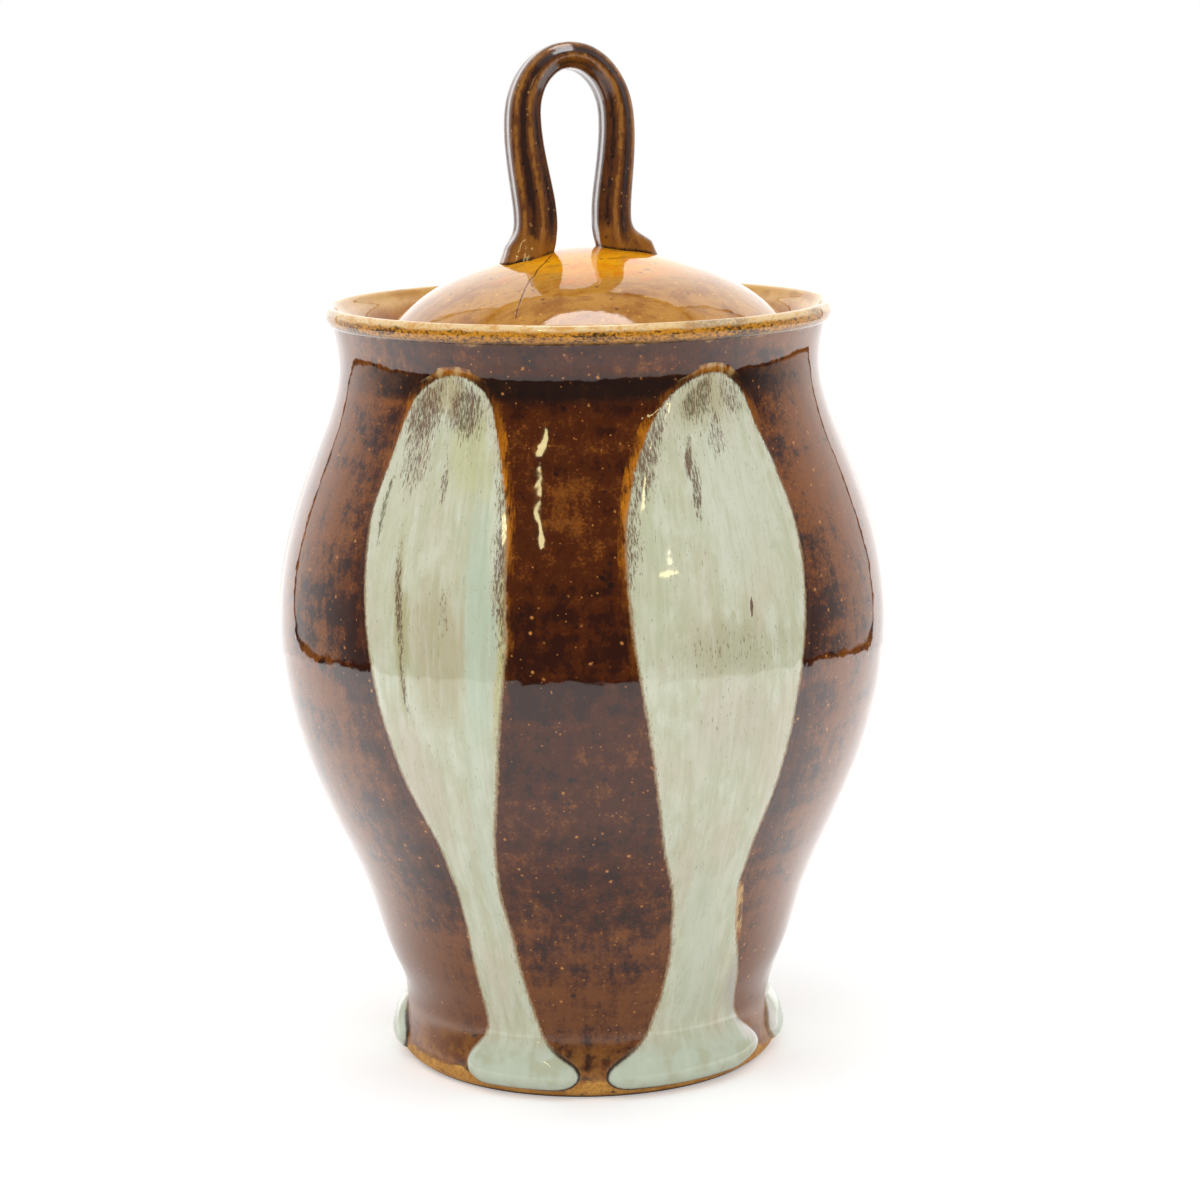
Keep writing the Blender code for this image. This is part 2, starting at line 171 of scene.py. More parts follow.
# The edges of a run, foot to top: its height, and its left and right edge as shares of
# RUN_HALF_TURN. Heights count from the run's foot to its top.
NARROW_RUN_SHARES = (
    (0.000, -0.35, 1.05), (0.016, -0.61, 1.40), (0.033, -0.64, 1.33), (0.050, -0.50, 0.95),
    (0.070, -0.27, 0.70), (0.125, -0.24, 0.58), (0.210, -0.22, 0.47), (0.290, -0.20, 0.39),
    (0.365, -0.25, 0.44), (0.450, -0.48, 0.57), (0.555, -0.67, 0.67), (0.655, -0.82, 0.75),
    (0.745, -0.94, 0.72), (0.815, -1.02, 0.71), (0.885, -0.93, 0.59), (0.930, -0.86, 0.48),
    (0.965, -0.72, 0.39), (0.985, -0.46, 0.24), (1.000, -0.13, -0.10))
BROAD_RUN_SHARES = (
    (0.000, -0.95, 1.20), (0.016, -1.30, 1.82), (0.033, -1.15, 1.93), (0.050, -0.80, 1.65),
    (0.070, -0.47, 1.39), (0.125, -0.33, 1.18), (0.210, -0.28, 0.80), (0.290, -0.38, 0.57),
    (0.365, -0.60, 0.58), (0.450, -0.74, 0.70), (0.555, -0.88, 0.79), (0.655, -1.00, 0.91),
    (0.745, -1.05, 1.01), (0.815, -1.03, 1.03), (0.885, -0.87, 0.93), (0.930, -0.66, 0.80),
    (0.965, -0.42, 0.71), (0.985, -0.13, 0.52), (1.000, 0.26, 0.29))

# The runs: node, bearing from -Y towards +X, edges, width, mirrored
RUNS = (
    ("glaze_run_front_left", radians(-41), NARROW_RUN_SHARES, 1.00, False),
    ("glaze_run_front_right", radians(13), BROAD_RUN_SHARES, 1.00, False),
    ("glaze_run_right", radians(86), BROAD_RUN_SHARES, 0.90, True),
    ("glaze_run_back_right", radians(141), NARROW_RUN_SHARES, 1.08, True),
    ("glaze_run_back_left", radians(194), BROAD_RUN_SHARES, 0.94, False),
    ("glaze_run_left", radians(-112), NARROW_RUN_SHARES, 1.15, False),
)

# Marks on the runs. A place on a run is a share across, from -1 at its left edge to 1 at its right
# edge, and a share up, from 0 at its foot to 1 at its top. Then come the mark's half width and half
# height, as shares too, and how strong it is.
NARROW_FLECKS = (
    (-0.55, 0.945, 0.60, 0.070, 1.10),
    (0.40, 0.955, 0.60, 0.060, 1.10),
    (-0.45, 0.885, 0.40, 0.060, 0.80),
    (-0.44, 0.700, 0.08, 0.110, 1.05),
    (-0.47, 0.590, 0.06, 0.070, 1.00),
    (-0.80, 0.820, 0.07, 0.070, 0.95),
    (0.10, 0.855, 0.08, 0.045, 0.90),
    (0.98, 0.760, 0.20, 0.180, 1.00),
    (0.20, 0.700, 0.10, 0.060, 0.45))
BROAD_FLECKS = (
    (-0.25, 0.965, 0.50, 0.050, 1.10),
    (-0.92, 0.890, 0.32, 0.090, 1.05),
    (-1.00, 0.800, 0.20, 0.110, 0.95),
    (-0.30, 0.885, 0.08, 0.040, 1.25),
    (-0.22, 0.845, 0.09, 0.055, 1.05),
    (0.60, 0.965, 0.50, 0.040, 0.80),
    (0.15, 0.920, 0.25, 0.050, 0.75),
    (0.28, 0.692, 0.025, 0.018, 2.00),
    (0.05, 0.640, 0.80, 0.050, 0.32),
    (-0.05, 0.570, 0.60, 0.060, 0.12),
    (1.05, 0.870, 0.12, 0.100, 0.70))

# Tints on the runs: a place and its half width and height, the colour, and how strong it is
NARROW_TINTS = (
    (-0.60, 0.780, 0.50, 0.220, (0.62, 0.61, 0.45), 0.60),
    (0.10, 0.640, 0.50, 0.130, (0.45, 0.38, 0.22), 0.65),
    (0.66, 0.680, 0.30, 0.210, (0.47, 0.57, 0.43), 0.75),
    (0.62, 0.400, 0.36, 0.300, (0.60, 0.67, 0.53), 0.55),
    (1.00, 0.640, 0.16, 0.160, (0.50, 0.47, 0.20), 0.85),
    (-0.60, 0.460, 0.60, 0.140, (0.58, 0.49, 0.37), 0.60),
    (0.50, 0.900, 0.50, 0.080, (0.54, 0.53, 0.27), 0.70),
    (-0.45, 0.660, 0.14, 0.160, (0.40, 0.36, 0.16), 0.70),
    (-0.20, 0.975, 0.90, 0.035, (0.45, 0.34, 0.15), 0.60))
BROAD_TINTS = (
    (0.25, 0.830, 0.65, 0.140, (0.66, 0.68, 0.54), 0.80),
    (0.05, 0.645, 0.75, 0.055, (0.44, 0.41, 0.25), 0.60),
    (0.10, 0.540, 0.80, 0.080, (0.57, 0.50, 0.39), 0.50),
    (-0.20, 0.200, 0.70, 0.160, (0.61, 0.66, 0.52), 0.75),
    (1.00, 0.120, 0.40, 0.080, (0.46, 0.42, 0.37), 0.80),
    (-0.20, 0.960, 0.80, 0.045, (0.42, 0.37, 0.19), 0.60),
    (1.00, 0.045, 0.34, 0.035, (0.80, 0.76, 0.70), 0.95),
    (-0.90, 0.780, 0.30, 0.180, (0.52, 0.54, 0.36), 0.50))

# Orange glow outside the runs' edges, and a tan graze where it is over 1
NARROW_GLOWS = (
    (1.20, 0.850, 0.55, 0.160, 1.00),
    (1.15, 0.690, 0.40, 0.150, 0.55),
    (-1.10, 0.920, 0.40, 0.090, 0.75))
BROAD_GLOWS = (
    (-1.15, 0.850, 0.50, 0.170, 1.00),
    (-1.12, 0.700, 0.35, 0.130, 0.45),
    (1.15, 0.930, 0.35, 0.070, 0.55),
    (1.14, 0.250, 0.30, 0.065, 1.60))

# How finely the pieces are divided
JAR_STEPS = 400
FLOOR_ROWS = 6
FLOOR_CORNER_ROWS = 9
INSIDE_ROWS = 32
RIM_ROWS = 40
WALL_ROWS = 118
FOOT_ROWS = 22
LID_STEPS = 360
LID_HOLLOW_ROWS = 40
LID_EDGE_ROWS = 9
LID_DOME_ROWS = 90
HANDLE_SIDES = 96
HANDLE_HALF_STEPS = 130
HANDLE_FLUTES = 6
HANDLE_SQUARENESS = 2.7
HANDLE_TOE_ROUNDNESS = 1.5
RUN_COLUMNS = 56
RUN_WALL_ROWS = 190
RUN_POOL_ROWS = 60

# How far the corners of a table's broken line are rounded, as a share of its length
HANDLE_THICKNESS_SOFTNESS = 0.05
RUN_EDGE_SOFTNESS = 0.012

# What the turning tree takes and gives
TURNING_SOCKETS = (
    ("Profile", "INPUT", "Geometry"),
    ("Steps", "INPUT", "Int"),
    ("Middle", "INPUT", "Float"),
    ("Ring Depth", "INPUT", "Float"),
    ("Ring Pitch", "INPUT", "Float"),
    ("Wobble", "INPUT", "Float"),
    ("Height", "INPUT", "Float"),
    ("Glaze", "INPUT", "Material"),
    ("Form", "OUTPUT", "Geometry"),
)

# Limits of the meshes
MERGE_DISTANCE = 1e-6
SHARP_ANGLE = radians(45)

# The camera, fitted to the rim, the foot and the outline
CAMERA_TURN = radians(-14)
CAMERA_DISTANCE = 776.8 * MM
CAMERA_HEIGHT = 254.8 * MM
CAMERA_PITCH = 0.182
CAMERA_ROLL = 0.013
CAMERA_YAW = 0.0055
CAMERA_LENS = 96.96
CAMERA_SENSOR = 36

# The one radius at which the patterns that run up and down the wall are drawn
UNROLLED_RADIUS = 65 * MM

# Painted shade: these bands darken the jar over its belly and under its lip, fading at its sides as
# the camera sees them
# Darker bands round the jar: the heights at which each starts, is full, starts to fade and ends
BELT_SHADE_BAND = (96 * MM, 108 * MM, 114 * MM, 132 * MM)
NECK_SHADE_BAND = (165.5 * MM, 169 * MM, 172 * MM, 174.5 * MM)

# How the glazes shine, and how deep the relief on them is
GLAZE_IOR = 1.6
WALL_ROUGHNESS = 0.045
FOOT_ROUGHNESS = 0.24
CLAY_ROUGHNESS = 0.3
LID_ROUGHNESS = 0.05
HANDLE_ROUGHNESS = 0.14
RUN_ROUGHNESS = 0.06
WAVE_RELIEF = 0.08 * MM
LINE_RELIEF = 0.012 * MM
GRAIN_RELIEF = 0.007 * MM
CRACK_DEPTH = 0.03 * MM
HANDLE_WAVE_RELIEF = 0.10 * MM
HANDLE_GRAIN_RELIEF = 0.010 * MM
HANDLE_LUMP_RELIEF = 0.8 * MM

# Glaze colours
DEEP_BROWN = (0.032, 0.009, 0.005)
RED_BROWN = (0.075, 0.0175, 0.0050)
AMBER_BROWN = (0.180, 0.056, 0.010)
RUST = (0.30, 0.088, 0.012)
HONEY = (0.62, 0.25, 0.060)
# Near black: iron specks and dark joints, and also the painted shade under the lip
IRON_AND_SHADE = (0.012, 0.008, 0.007)
THIN_AMBER = (0.36, 0.14, 0.018)
LIP_TAN = (0.64, 0.27, 0.026)
LIP_DARK = (0.080, 0.038, 0.010)
# Pale cream of the lip's top, partly the glaze's own and partly painted highlight
LIP_CREAM_AND_HIGHLIGHT = (0.84, 0.61, 0.32)
LIP_GREY_PATCH = (0.20, 0.20, 0.20)
LIP_DARK_PATCH = (0.085, 0.055, 0.040)
LIP_DRIP = (0.46, 0.27, 0.10)
CLAY = (0.67, 0.335, 0.055)
CLAY_SHADE = (0.46, 0.180, 0.016)
CLAY_SHADOW = (0.06, 0.022, 0.006)
# Amber of the rim's inside, which also paints the shade low in the gallery by the lid
RIM_AMBER = (0.48, 0.175, 0.014)
RIM_TAN = (0.80, 0.48, 0.14)
# Amber round the handle, made brighter against the handle's shade: partly painted light
LID_AMBER = (0.97, 0.42, 0.004)
LID_ORANGE = (0.80, 0.25, 0.003)
LID_TAN = (0.56, 0.26, 0.042)
LID_SHADE = (0.33, 0.115, 0.012)
LID_DUST = (0.11, 0.035, 0.008)
LID_SPARK = (0.95, 0.50, 0.09)
LID_CRACK = (0.17, 0.055, 0.008)
HANDLE_DARK = (0.034, 0.015, 0.010)
HANDLE_BROWN = (0.120, 0.040, 0.012)
HANDLE_AMBER = (0.33, 0.135, 0.024)
HANDLE_FOOT = (0.38, 0.145, 0.014)
HANDLE_SPARK = (0.62, 0.32, 0.09)
CELADON = (0.56, 0.57, 0.40)
CELADON_LIGHT = (0.67, 0.68, 0.53)
CELADON_SHADE = (0.49, 0.49, 0.31)
CELADON_CREAM = (0.61, 0.53, 0.39)
POOL_AQUA = (0.57, 0.65, 0.52)
FLECK_BROWN = (0.12, 0.045, 0.025)
FLECK_GREEN = (0.10, 0.085, 0.035)
HALO_ORANGE = (0.52, 0.175, 0.009)
HALO_BROWN = (0.18, 0.050, 0.006)
HALO_CREAM = (0.46, 0.33, 0.18)
CAP_TAN = (0.60, 0.37, 0.14)
EDGE_DARK = (0.022, 0.008, 0.004)

# Grey and dark patches on the lip's top: bearing from the side facing the camera towards the right,
# half width, colour
LIP_TOP_PATCHES = (
    (radians(31), radians(10), LIP_GREY_PATCH),
    (radians(-74), radians(6), LIP_DARK_PATCH),
    (radians(66), radians(5), LIP_DARK_PATCH),
)

# What the glazes mirror: azimuths from the middle of the backdrop, and elevations
BACKDROP_HALF_WIDTH = radians(36.3)
BACKDROP_TOP = radians(54.8)
BACKDROP_TOP_LINE = tuple(BACKDROP_TOP + past for past in (-0.01, 0, 0.03, 0.05))
TABLE_EDGE = radians(-13.6)
SOFT_BOX_FOOT = radians(75.5)
LEFT_CORNER = 0.0080
RIGHT_CORNER = 0.0020
BORDER_WIDTH = radians(1.9)
BORDER_DARK = 0.97
TOP_LINE_DARK = 0.9
ROOM_DARK = 0.03
ROOM_SIDE = 1.25
ROOM_CEILING = 0.40
MIRROR_WAVER = 0.03
BACKDROP_LEVEL = 1.7
BACKDROP_SIDE_LEVEL = 1.75
TABLE_LEVEL = 1.0
TABLE_SIDE_LEVEL = 1.9
TABLE_NEAR_SHADE = 0.45
SOFT_BOX_LEVEL = 7.0
LAMP_COLOUR = (14, 12.4, 6.2)
FLOOR_RADIUS = 0.50
FLOOR_WHITE = (0.93, 0.93, 0.93)
FLOOR_LIT = 0.85
FLOOR_CAMERA_GLOW = 0.30
FLOOR_SHADE_START = 60 * MM
FLOOR_SHADE_END = 125 * MM
SKY = (0.92, 0.92, 0.92)
SOFT_LIGHT_PLACE = (-0.25, -0.3, 0.9)
SOFT_LIGHT_AIM = (0, 0, 0.1)
SOFT_LIGHT_SIZE = 1.0
SOFT_LIGHT_POWER = 1.6

# Small lamps in the room: azimuth and elevation where each starts and where it ends, and its
# half width, all in degrees
LAMPS = (
    ((-164.3, 25.8), (-160.1, 33.75), 1.4),
    ((150.0, 20.2), (142.0, 19.0), 0.5),
    ((152.9, 33.0), (152.9, 34.0), 1.5),
    ((145.3, 22.2), (143.7, 23.0), 0.8),
)


def between(start, end, shares):
    """Points that lie the given shares of the way from start to end."""
    return [tuple(a + (b - a) * s for a, b, s in zip(start, end, pair)) for pair in shares]


def curve_through(points):
    """The natural cubic curve through points sorted by their first number, as a function."""
    xs, ys = (np.array(column, dtype=float) for column in zip(*points))
    gaps = np.diff(xs)
    slopes = np.diff(ys) / gaps
    matrix = np.eye(len(xs))
    right = np.zeros(len(xs))
    for i in range(1, len(xs) - 1):
        matrix[i, i - 1:i + 2] = gaps[i - 1], 2 * (gaps[i - 1] + gaps[i]), gaps[i]
        right[i] = 6 * (slopes[i] - slopes[i - 1])
    bends = np.linalg.solve(matrix, right)

    def value(x):
        i = np.clip(np.searchsorted(xs, x) - 1, 0, len(gaps) - 1)
        below, above = x - xs[i], xs[i + 1] - x
        cubic = (bends[i] * above**3 + bends[i + 1] * below**3) / (6 * gaps[i])
        line = (ys[i] * above + ys[i + 1] * below) / gaps[i]
        pull = (bends[i] * above + bends[i + 1] * below) * gaps[i] / 6
        return cubic + line - pull

    return value


def smooth_path(points, count):
    """Points an even way apart on the smooth curve through points in a plane."""
    corners = np.array(points, dtype=float)
    steps = np.hypot(*np.diff(corners, axis=0).T)
    lengths = np.concatenate([[0], np.cumsum(steps)])
    places = np.linspace(0, lengths[-1], count)
    columns = [curve_through(list(zip(lengths, corners[:, axis])))(places) for axis in (0, 1)]
    return [(float(a), float(b)) for a, b in zip(*columns)]


def rounded_line(points, softness):
    """The broken line through points with its corners rounded, as a function."""
    xs, ys = (np.array(column, dtype=float) for column in zip(*points))
    fine = np.linspace(xs[0], xs[-1], 2001)
    values = np.interp(fine, xs, ys)
    reach = int(softness * len(fine))
    weights = np.hanning(2 * reach + 3)
    padded = np.concatenate([np.full(reach + 1, values[0]), values, np.full(reach + 1, values[-1])])
    softened = np.convolve(padded, weights / weights.sum(), mode="valid")
    return lambda x: np.interp(x, fine, softened)


def ease(value, start, end):
    """A smooth rise from 0 at start to 1 at end."""
    share = np.clip((value - start) / (end - start), 0, 1)
    return share * share * (3 - 2 * share)


class Socket:
    """A node's output. A sum, product or power of it adds a Math node."""

    def __init__(self, graph, output):
        self.graph = graph
        self.output = output

    def other(self, name):
        """Another output of the same node."""
        return Socket(self.graph, self.output.node.outputs[name])

    def math(self, operation, *values):
        """The outcome of a Math node."""
        return self.graph.node("ShaderNodeMath", {"operation": operation}, dict(enumerate(values)))

    def __add__(self, other):
        return self.math("ADD", self, other)

    def __sub__(self, other):
        return self.math("SUBTRACT", self, other)

    def __rsub__(self, other):
        return self.math("SUBTRACT", other, self)

    def __mul__(self, other):
        return self.math("MULTIPLY", self, other)

    def __truediv__(self, other):
        return self.math("DIVIDE", self, other)

    def __rtruediv__(self, other):
        return self.math("DIVIDE", other, self)

    def __pow__(self, other):
        return self.math("POWER", self, other)

    def __abs__(self):
        return self.math("ABSOLUTE", self)

    __radd__ = __add__
    __rmul__ = __mul__


class Graph:
    """A node tree that is written as expressions."""

    def __init__(self, tree):
        self.tree = tree

    def node(self, kind, settings=None, inputs=None, output=0):
        """Add a node: its type, its settings, and the values or links of its sockets."""
        made = self.tree.nodes.new(kind)
        for name, value in (settings or {}).items():
            setattr(made, name, value)
        self.feed_all(made.inputs, inputs or {})
        return Socket(self, made.outputs[output])

    def feed_all(self, targets, values):
        """Feed several of a node's inputs, each by its name or number."""
        for key, value in values.items():
            self.feed(targets[key], value)

    def feed(self, target, value):
        """Link a socket to a node's input, or set the input's value."""
        if isinstance(value, Socket):
            self.tree.links.new(value.output, target)
        elif target.type == "RGBA":
            target.default_value = (*value, 1)
        else:
            target.default_value = value

    def rise(self, value, start, end):
        """A smooth rise from 0 at start to 1 at end."""
        sockets = {"Value": value, "From Min": start, "From Max": end}
        return self.node("ShaderNodeMapRange", {"interpolation_type": "SMOOTHSTEP"}, sockets)

    def most(self, first, second):
        """The greater of two values."""
        return self.node("ShaderNodeMath", {"operation": "MAXIMUM"}, {0: first, 1: second})

    def mix(self, share, first, second, clamped=True):
        """A colour that goes from first to second as share goes from 0 to 1."""
        sockets = {0: share, 6: first, 7: second}
        settings = {"data_type": "RGBA", "clamp_factor": clamped}
        return self.node("ShaderNodeMix", settings, sockets, output=2)

    def coats(self, colour, *coats):
        """A colour with coats laid over it one after another, each a share and a colour."""
        for share, coat in coats:
            colour = self.mix(share, colour, coat)
        return colour

    def tint(self, colour, level):
        """A colour made brighter or darker by a level."""
        return self.mix(level, (0, 0, 0), colour, clamped=False)

    def scaled(self, place, factors):
        """A vector whose numbers are multiplied by factors."""
        return self.node("ShaderNodeVectorMath", {"operation": "MULTIPLY"}, {0: place, 1: factors})

    def split(self, vector):
        """A vector's x, y and z."""
        parts = self.node("ShaderNodeSeparateXYZ", inputs={0: vector})
        return parts, parts.other("Y"), parts.other("Z")

    def joined(self, x, y, z):
        """The vector that x, y and z make."""
        return self.node("ShaderNodeCombineXYZ", inputs={0: x, 1: y, 2: z})

    def length(self, x, y, least=1e-9):
        """The length of a flat vector, kept off zero by its least square."""
        return (x * x + y * y + least) ** 0.5

    def band(self, value, marks):
        """A band of value that starts, is full, starts to fade and ends at four marks."""
        return self.rise(value, *marks[:2]) * (1 - self.rise(value, *marks[2:]))

    def attribute(self, name):
        """A number that the piece's mesh keeps at its points."""
        return self.node("ShaderNodeAttribute", {"attribute_name": name}).other("Fac")

    def rays(self):
        """Whether a ray comes from the camera, and whether a glaze mirrors or refracts it."""
        kinds = self.node("ShaderNodeLightPath")
        return kinds, self.most(kinds.other("Is Glossy Ray"), kinds.other("Is Transmission Ray"))

    def noise(self, place, grain, detail=2.0, rough=0.5, unit=MM):
        """Noise from 0 to 1, whose grain is in millimetres: one number, or one along each axis."""
        grain = grain if isinstance(grain, tuple) else (grain,) * 3
        spread = self.scaled(place, tuple(1 / (size * unit) for size in grain))
        sockets = {"Vector": spread, "Scale": 1.0, "Detail": detail, "Roughness": rough}
        return self.node("ShaderNodeTexNoise", None, sockets)

    def specks(self, place, spacing, radius, kept, uneven=0.5):
        """Specks, in millimetres: about one for each spacing, of which the share kept shows."""
        sockets = {"Vector": self.scaled(place, (1 / (spacing * MM),) * 3), "Scale": 1.0}
        cells = self.node("ShaderNodeTexVoronoi", None, sockets)
        luck = self.node("ShaderNodeSeparateColor", inputs={0: cells.other("Color")})
        size = radius / spacing
        dot = 1 - self.rise(cells + (uneven - 0.5) * size * 3, size * 0.3, size * 1.4)
        return dot * self.rise(luck, 1 - kept - 0.01, 1 - kept + 0.01)


def turning_tree():
    """Geometry Nodes that turn a profile about an upright axis, with throwing rings and a wobble."""
    tree = bpy.data.node_groups.new("turned form", "GeometryNodeTree")
    for name, way, kind in TURNING_SOCKETS:
        tree.interface.new_socket(name=name, in_out=way, socket_type="NodeSocket" + kind)
    g = Graph(tree)
    entry = g.node("NodeGroupInput")
    profile = entry.other("Profile")
    steps = entry.other("Steps")

    count = g.node("GeometryNodeAttributeDomainSize", {"component": "MESH"}, {0: profile})
    size = {"Size X": 1.0, "Size Y": 1.0, "Vertices X": steps + 1, "Vertices Y": count}
    grid = g.node("GeometryNodeMeshGrid", None, size)
    index = g.node("GeometryNodeInputIndex")
    column = index.math("FLOOR", (index + 0.5) / count)
    row = index - column * count
    sockets = {0: profile, "Value": g.node("GeometryNodeInputPosition"), "Index": row}
    point = g.node("GeometryNodeSampleIndex", {"data_type": "FLOAT_VECTOR"}, sockets)
    softness = g.node("GeometryNodeInputNamedAttribute", {"data_type": "FLOAT"}, {0: "relief"})
    sockets = {0: profile, "Value": softness, "Index": row}
    relief = g.node("GeometryNodeSampleIndex", {"data_type": "FLOAT"}, sockets)

    radius, _, height = g.split(point)
    angle = column / steps * tau
    across = angle.math("SINE", angle)
    along = angle.math("COSINE", angle)
    ring_height = height / entry.other("Ring Pitch")
    ring_place = g.joined(across * RING_WANDER, along * RING_WANDER, ring_height)
    rings = g.node("ShaderNodeTexNoise", None, {"Vector": ring_place, "Scale": 1.0, "Detail": 1.5})
    rings = (rings - 0.5) * 2 * entry.other("Ring Depth")
    wobble = angle.math("COSINE", angle * 2 + WOBBLE_BEARING) * entry.other("Wobble")
    wobble = wobble * (height / entry.other("Height"))
    reach = radius + (rings + wobble) * relief
    spot = g.joined(reach * across + entry.other("Middle"), reach * along * -1, height)

    shaped = g.node("GeometryNodeSetPosition", None, {"Geometry": grid, "Position": spot})
    sockets = {"Geometry": shaped, "Distance": MERGE_DISTANCE}
    merged = g.node("GeometryNodeMergeByDistance", None, sockets)
    smooth = g.node("GeometryNodeSetShadeSmooth", None, {"Geometry": merged, "Shade Smooth": True})
    real = g.node("GeometryNodeRealizeInstances", None, {"Geometry": smooth})
    sockets = {"Geometry": real, "Material": entry.other("Glaze")}
    form = g.node("GeometryNodeSetMaterial", None, sockets)
    g.feed(tree.nodes.new("NodeGroupOutput").inputs[0], form)
    return tree


def placed(name, data):
    """A new object in the scene, at the origin."""
    piece = bpy.data.objects.new(name, data)
    bpy.context.collection.objects.link(piece)
    return piece


def turned(name, profile, sizes, glaze):
    """Turn a profile of (radius, height, relief) points, bake it and return the plain piece."""
    outline = bpy.data.meshes.new(name + "_profile")
    points = [(radius, 0, height) for radius, height, _ in profile]
    outline.from_pydata(points, [(i, i + 1) for i in range(len(points) - 1)], [])
    relief = outline.attributes.new("relief", "FLOAT", "POINT")
    relief.data.foreach_set("value", [softness for _, _, softness in profile])
    piece = placed(name, outline)
    modifier = piece.modifiers.new("turned form", "NODES")
    modifier.node_group = bpy.data.node_groups.get("turned form") or turning_tree()
    for item in modifier.node_group.interface.items_tree:
        if item.in_out == "INPUT" and item.name in sizes:
            modifier[item.identifier] = sizes[item.name]
        if item.in_out == "INPUT" and item.name == "Glaze":
            modifier[item.identifier] = glaze
    graph = bpy.context.evaluated_depsgraph_get()
    baked = bpy.data.meshes.new_from_object(piece.evaluated_get(graph))
    piece.modifiers.clear()
    piece.data = baked
    baked.name = name
    shape = bmesh.new()
    shape.from_mesh(baked)
    bmesh.ops.recalc_face_normals(shape, faces=shape.faces)
    shape.to_mesh(baked)
    shape.free()
    baked.set_sharp_from_angle(angle=SHARP_ANGLE)
    return piece


def plain_piece(name, shape, material):
    """Put a finished bmesh in the scene as a smooth object at the origin."""
    bmesh.ops.recalc_face_normals(shape, faces=shape.faces)
    mesh = bpy.data.meshes.new(name)
    shape.to_mesh(mesh)
    shape.free()
    mesh.materials.append(material)
    mesh.shade_smooth()
    return placed(name, mesh)


def wall_radius():
    """The wall's outer line, as a function from height to radius."""
    flare = (FLARE_HEIGHT, FLARE_RADIUS)
    waist = (WAIST_HEIGHT, WAIST_RADIUS)
    belly = (BELLY_HEIGHT, BELLY_RADIUS)
    neck = (RIM_HEIGHT - NECK_DROP, NECK_RADIUS)
    lip = (LIP_BOTTOM, LIP_RADIUS - LIP_THICKNESS * 0.55)
    points = [flare, *between(flare, waist, ((0.48, 0.50),)), waist]
    points += [*between(waist, belly, LOWER_WALL_SHARES), belly]
    points += [*between(belly, neck, UPPER_WALL_SHARES), neck, lip]
    return curve_through(points)


def jar_inside(wall):
    """The jar's inner line with its relief, from the middle of its floor to the end of its ledge."""
    corner_top = FLOOR_HEIGHT + FLOOR_CORNER
    haunch_top = LEDGE_HEIGHT - LEDGE_THICKNESS
    haunch_bottom = haunch_top - LEDGE_HAUNCH
    corner_radius = wall(corner_top) - WALL - FLOOR_CORNER
    rows = [(share * corner_radius, FLOOR_HEIGHT, 0.0) for share in np.linspace(0, 0.95, FLOOR_ROWS)]
    for turn in np.linspace(0, pi / 2, FLOOR_CORNER_ROWS)[:-1]:
        radius = corner_radius + FLOOR_CORNER * sin(turn)
        rows.append((radius, corner_top - FLOOR_CORNER * cos(turn), 0.3))
    for height in np.linspace(corner_top, haunch_bottom, INSIDE_ROWS):
        rows.append((wall(height) - WALL, height, 1.6))
    return rows + [
        (MOUTH_RADIUS + 0.25 * MM, haunch_top, 0.3),
        (MOUTH_RADIUS, haunch_top + 0.3 * MM, 0.3),
        (MOUTH_RADIUS, LEDGE_HEIGHT - 0.4 * MM, 0.3),
        (MOUTH_RADIUS + 0.4 * MM, LEDGE_HEIGHT, 0.3),
        (GALLERY_RADIUS - 0.6 * MM, LEDGE_HEIGHT, 0.3)]


def jar_rim():
    """The jar's line from the ledge, over the lip, to the lip's foot."""
    lip = []
    for across, up in LIP_SHARES:
        lip.append((LIP_RADIUS - LIP_THICKNESS * across, LIP_BOTTOM + LIP_HEIGHT * up))
    gallery_foot = (GALLERY_RADIUS, LEDGE_HEIGHT + 0.4 * MM)
    gallery = between(lip[-1], gallery_foot, GALLERY_SHARES)
    return smooth_path([gallery_foot, *gallery[::-1], *lip[::-1]], RIM_ROWS)


def jar_foot(wall):
    """The jar's line round the edge of its foot."""
    flare_top = FLARE_HEIGHT + FLARE_ROUNDING
    flare_end = FLARE_HEIGHT + FLARE_ROUNDING / 2
    edge = [
        (wall(flare_top), flare_top),
        (wall(flare_end), flare_end),
        (FLARE_RADIUS, FLARE_HEIGHT * 0.9),
        (FLARE_RADIUS * 0.995, FLARE_HEIGHT * 0.6),
        (FLARE_RADIUS * 0.975, FLARE_HEIGHT * 0.28),
        (FOOT_RADIUS * 1.014, FLARE_HEIGHT * 0.07),
        (FOOT_RADIUS, 0)]
    return smooth_path(edge, FOOT_ROWS)


def jar_profile(wall):
    """The jar's section, from the middle of its floor, over the rim, to the middle of its foot."""
    rows = jar_inside(wall) + [(radius, height, 0.5) for radius, height in jar_rim()]
    for height in np.linspace(LIP_BOTTOM, FLARE_HEIGHT + FLARE_ROUNDING, WALL_ROWS):
        fade = ease(height, FLARE_HEIGHT, WAIST_HEIGHT * 1.6)
        fade *= 1 - 0.6 * ease(height, LIP_BOTTOM - 6 * MM, LIP_BOTTOM)
        rows.append((wall(height), height, float(fade)))
    rows += [(radius, height, 0.0) for radius, height in jar_foot(wall)[1:]]
    ring_radius = FOOT_RADIUS - FOOT_RING_WIDTH
    return rows + [
        (ring_radius, 0, 0.0),
        (ring_radius - FOOT_RECESS, FOOT_RECESS, 0.0),
        (0, FOOT_RECESS, 0.0)]


def lid_dome():
    """The lid's outer line, as a function from radius to height above its seat."""
    shoulder = (LID_RADIUS, LID_EDGE_HEIGHT)
    apex = (0, LID_RISE)
    half = [shoulder, *between(shoulder, apex, LID_DOME_SHARES), apex]
    return curve_through([(-radius, height) for radius, height in half] + half[-2::-1])


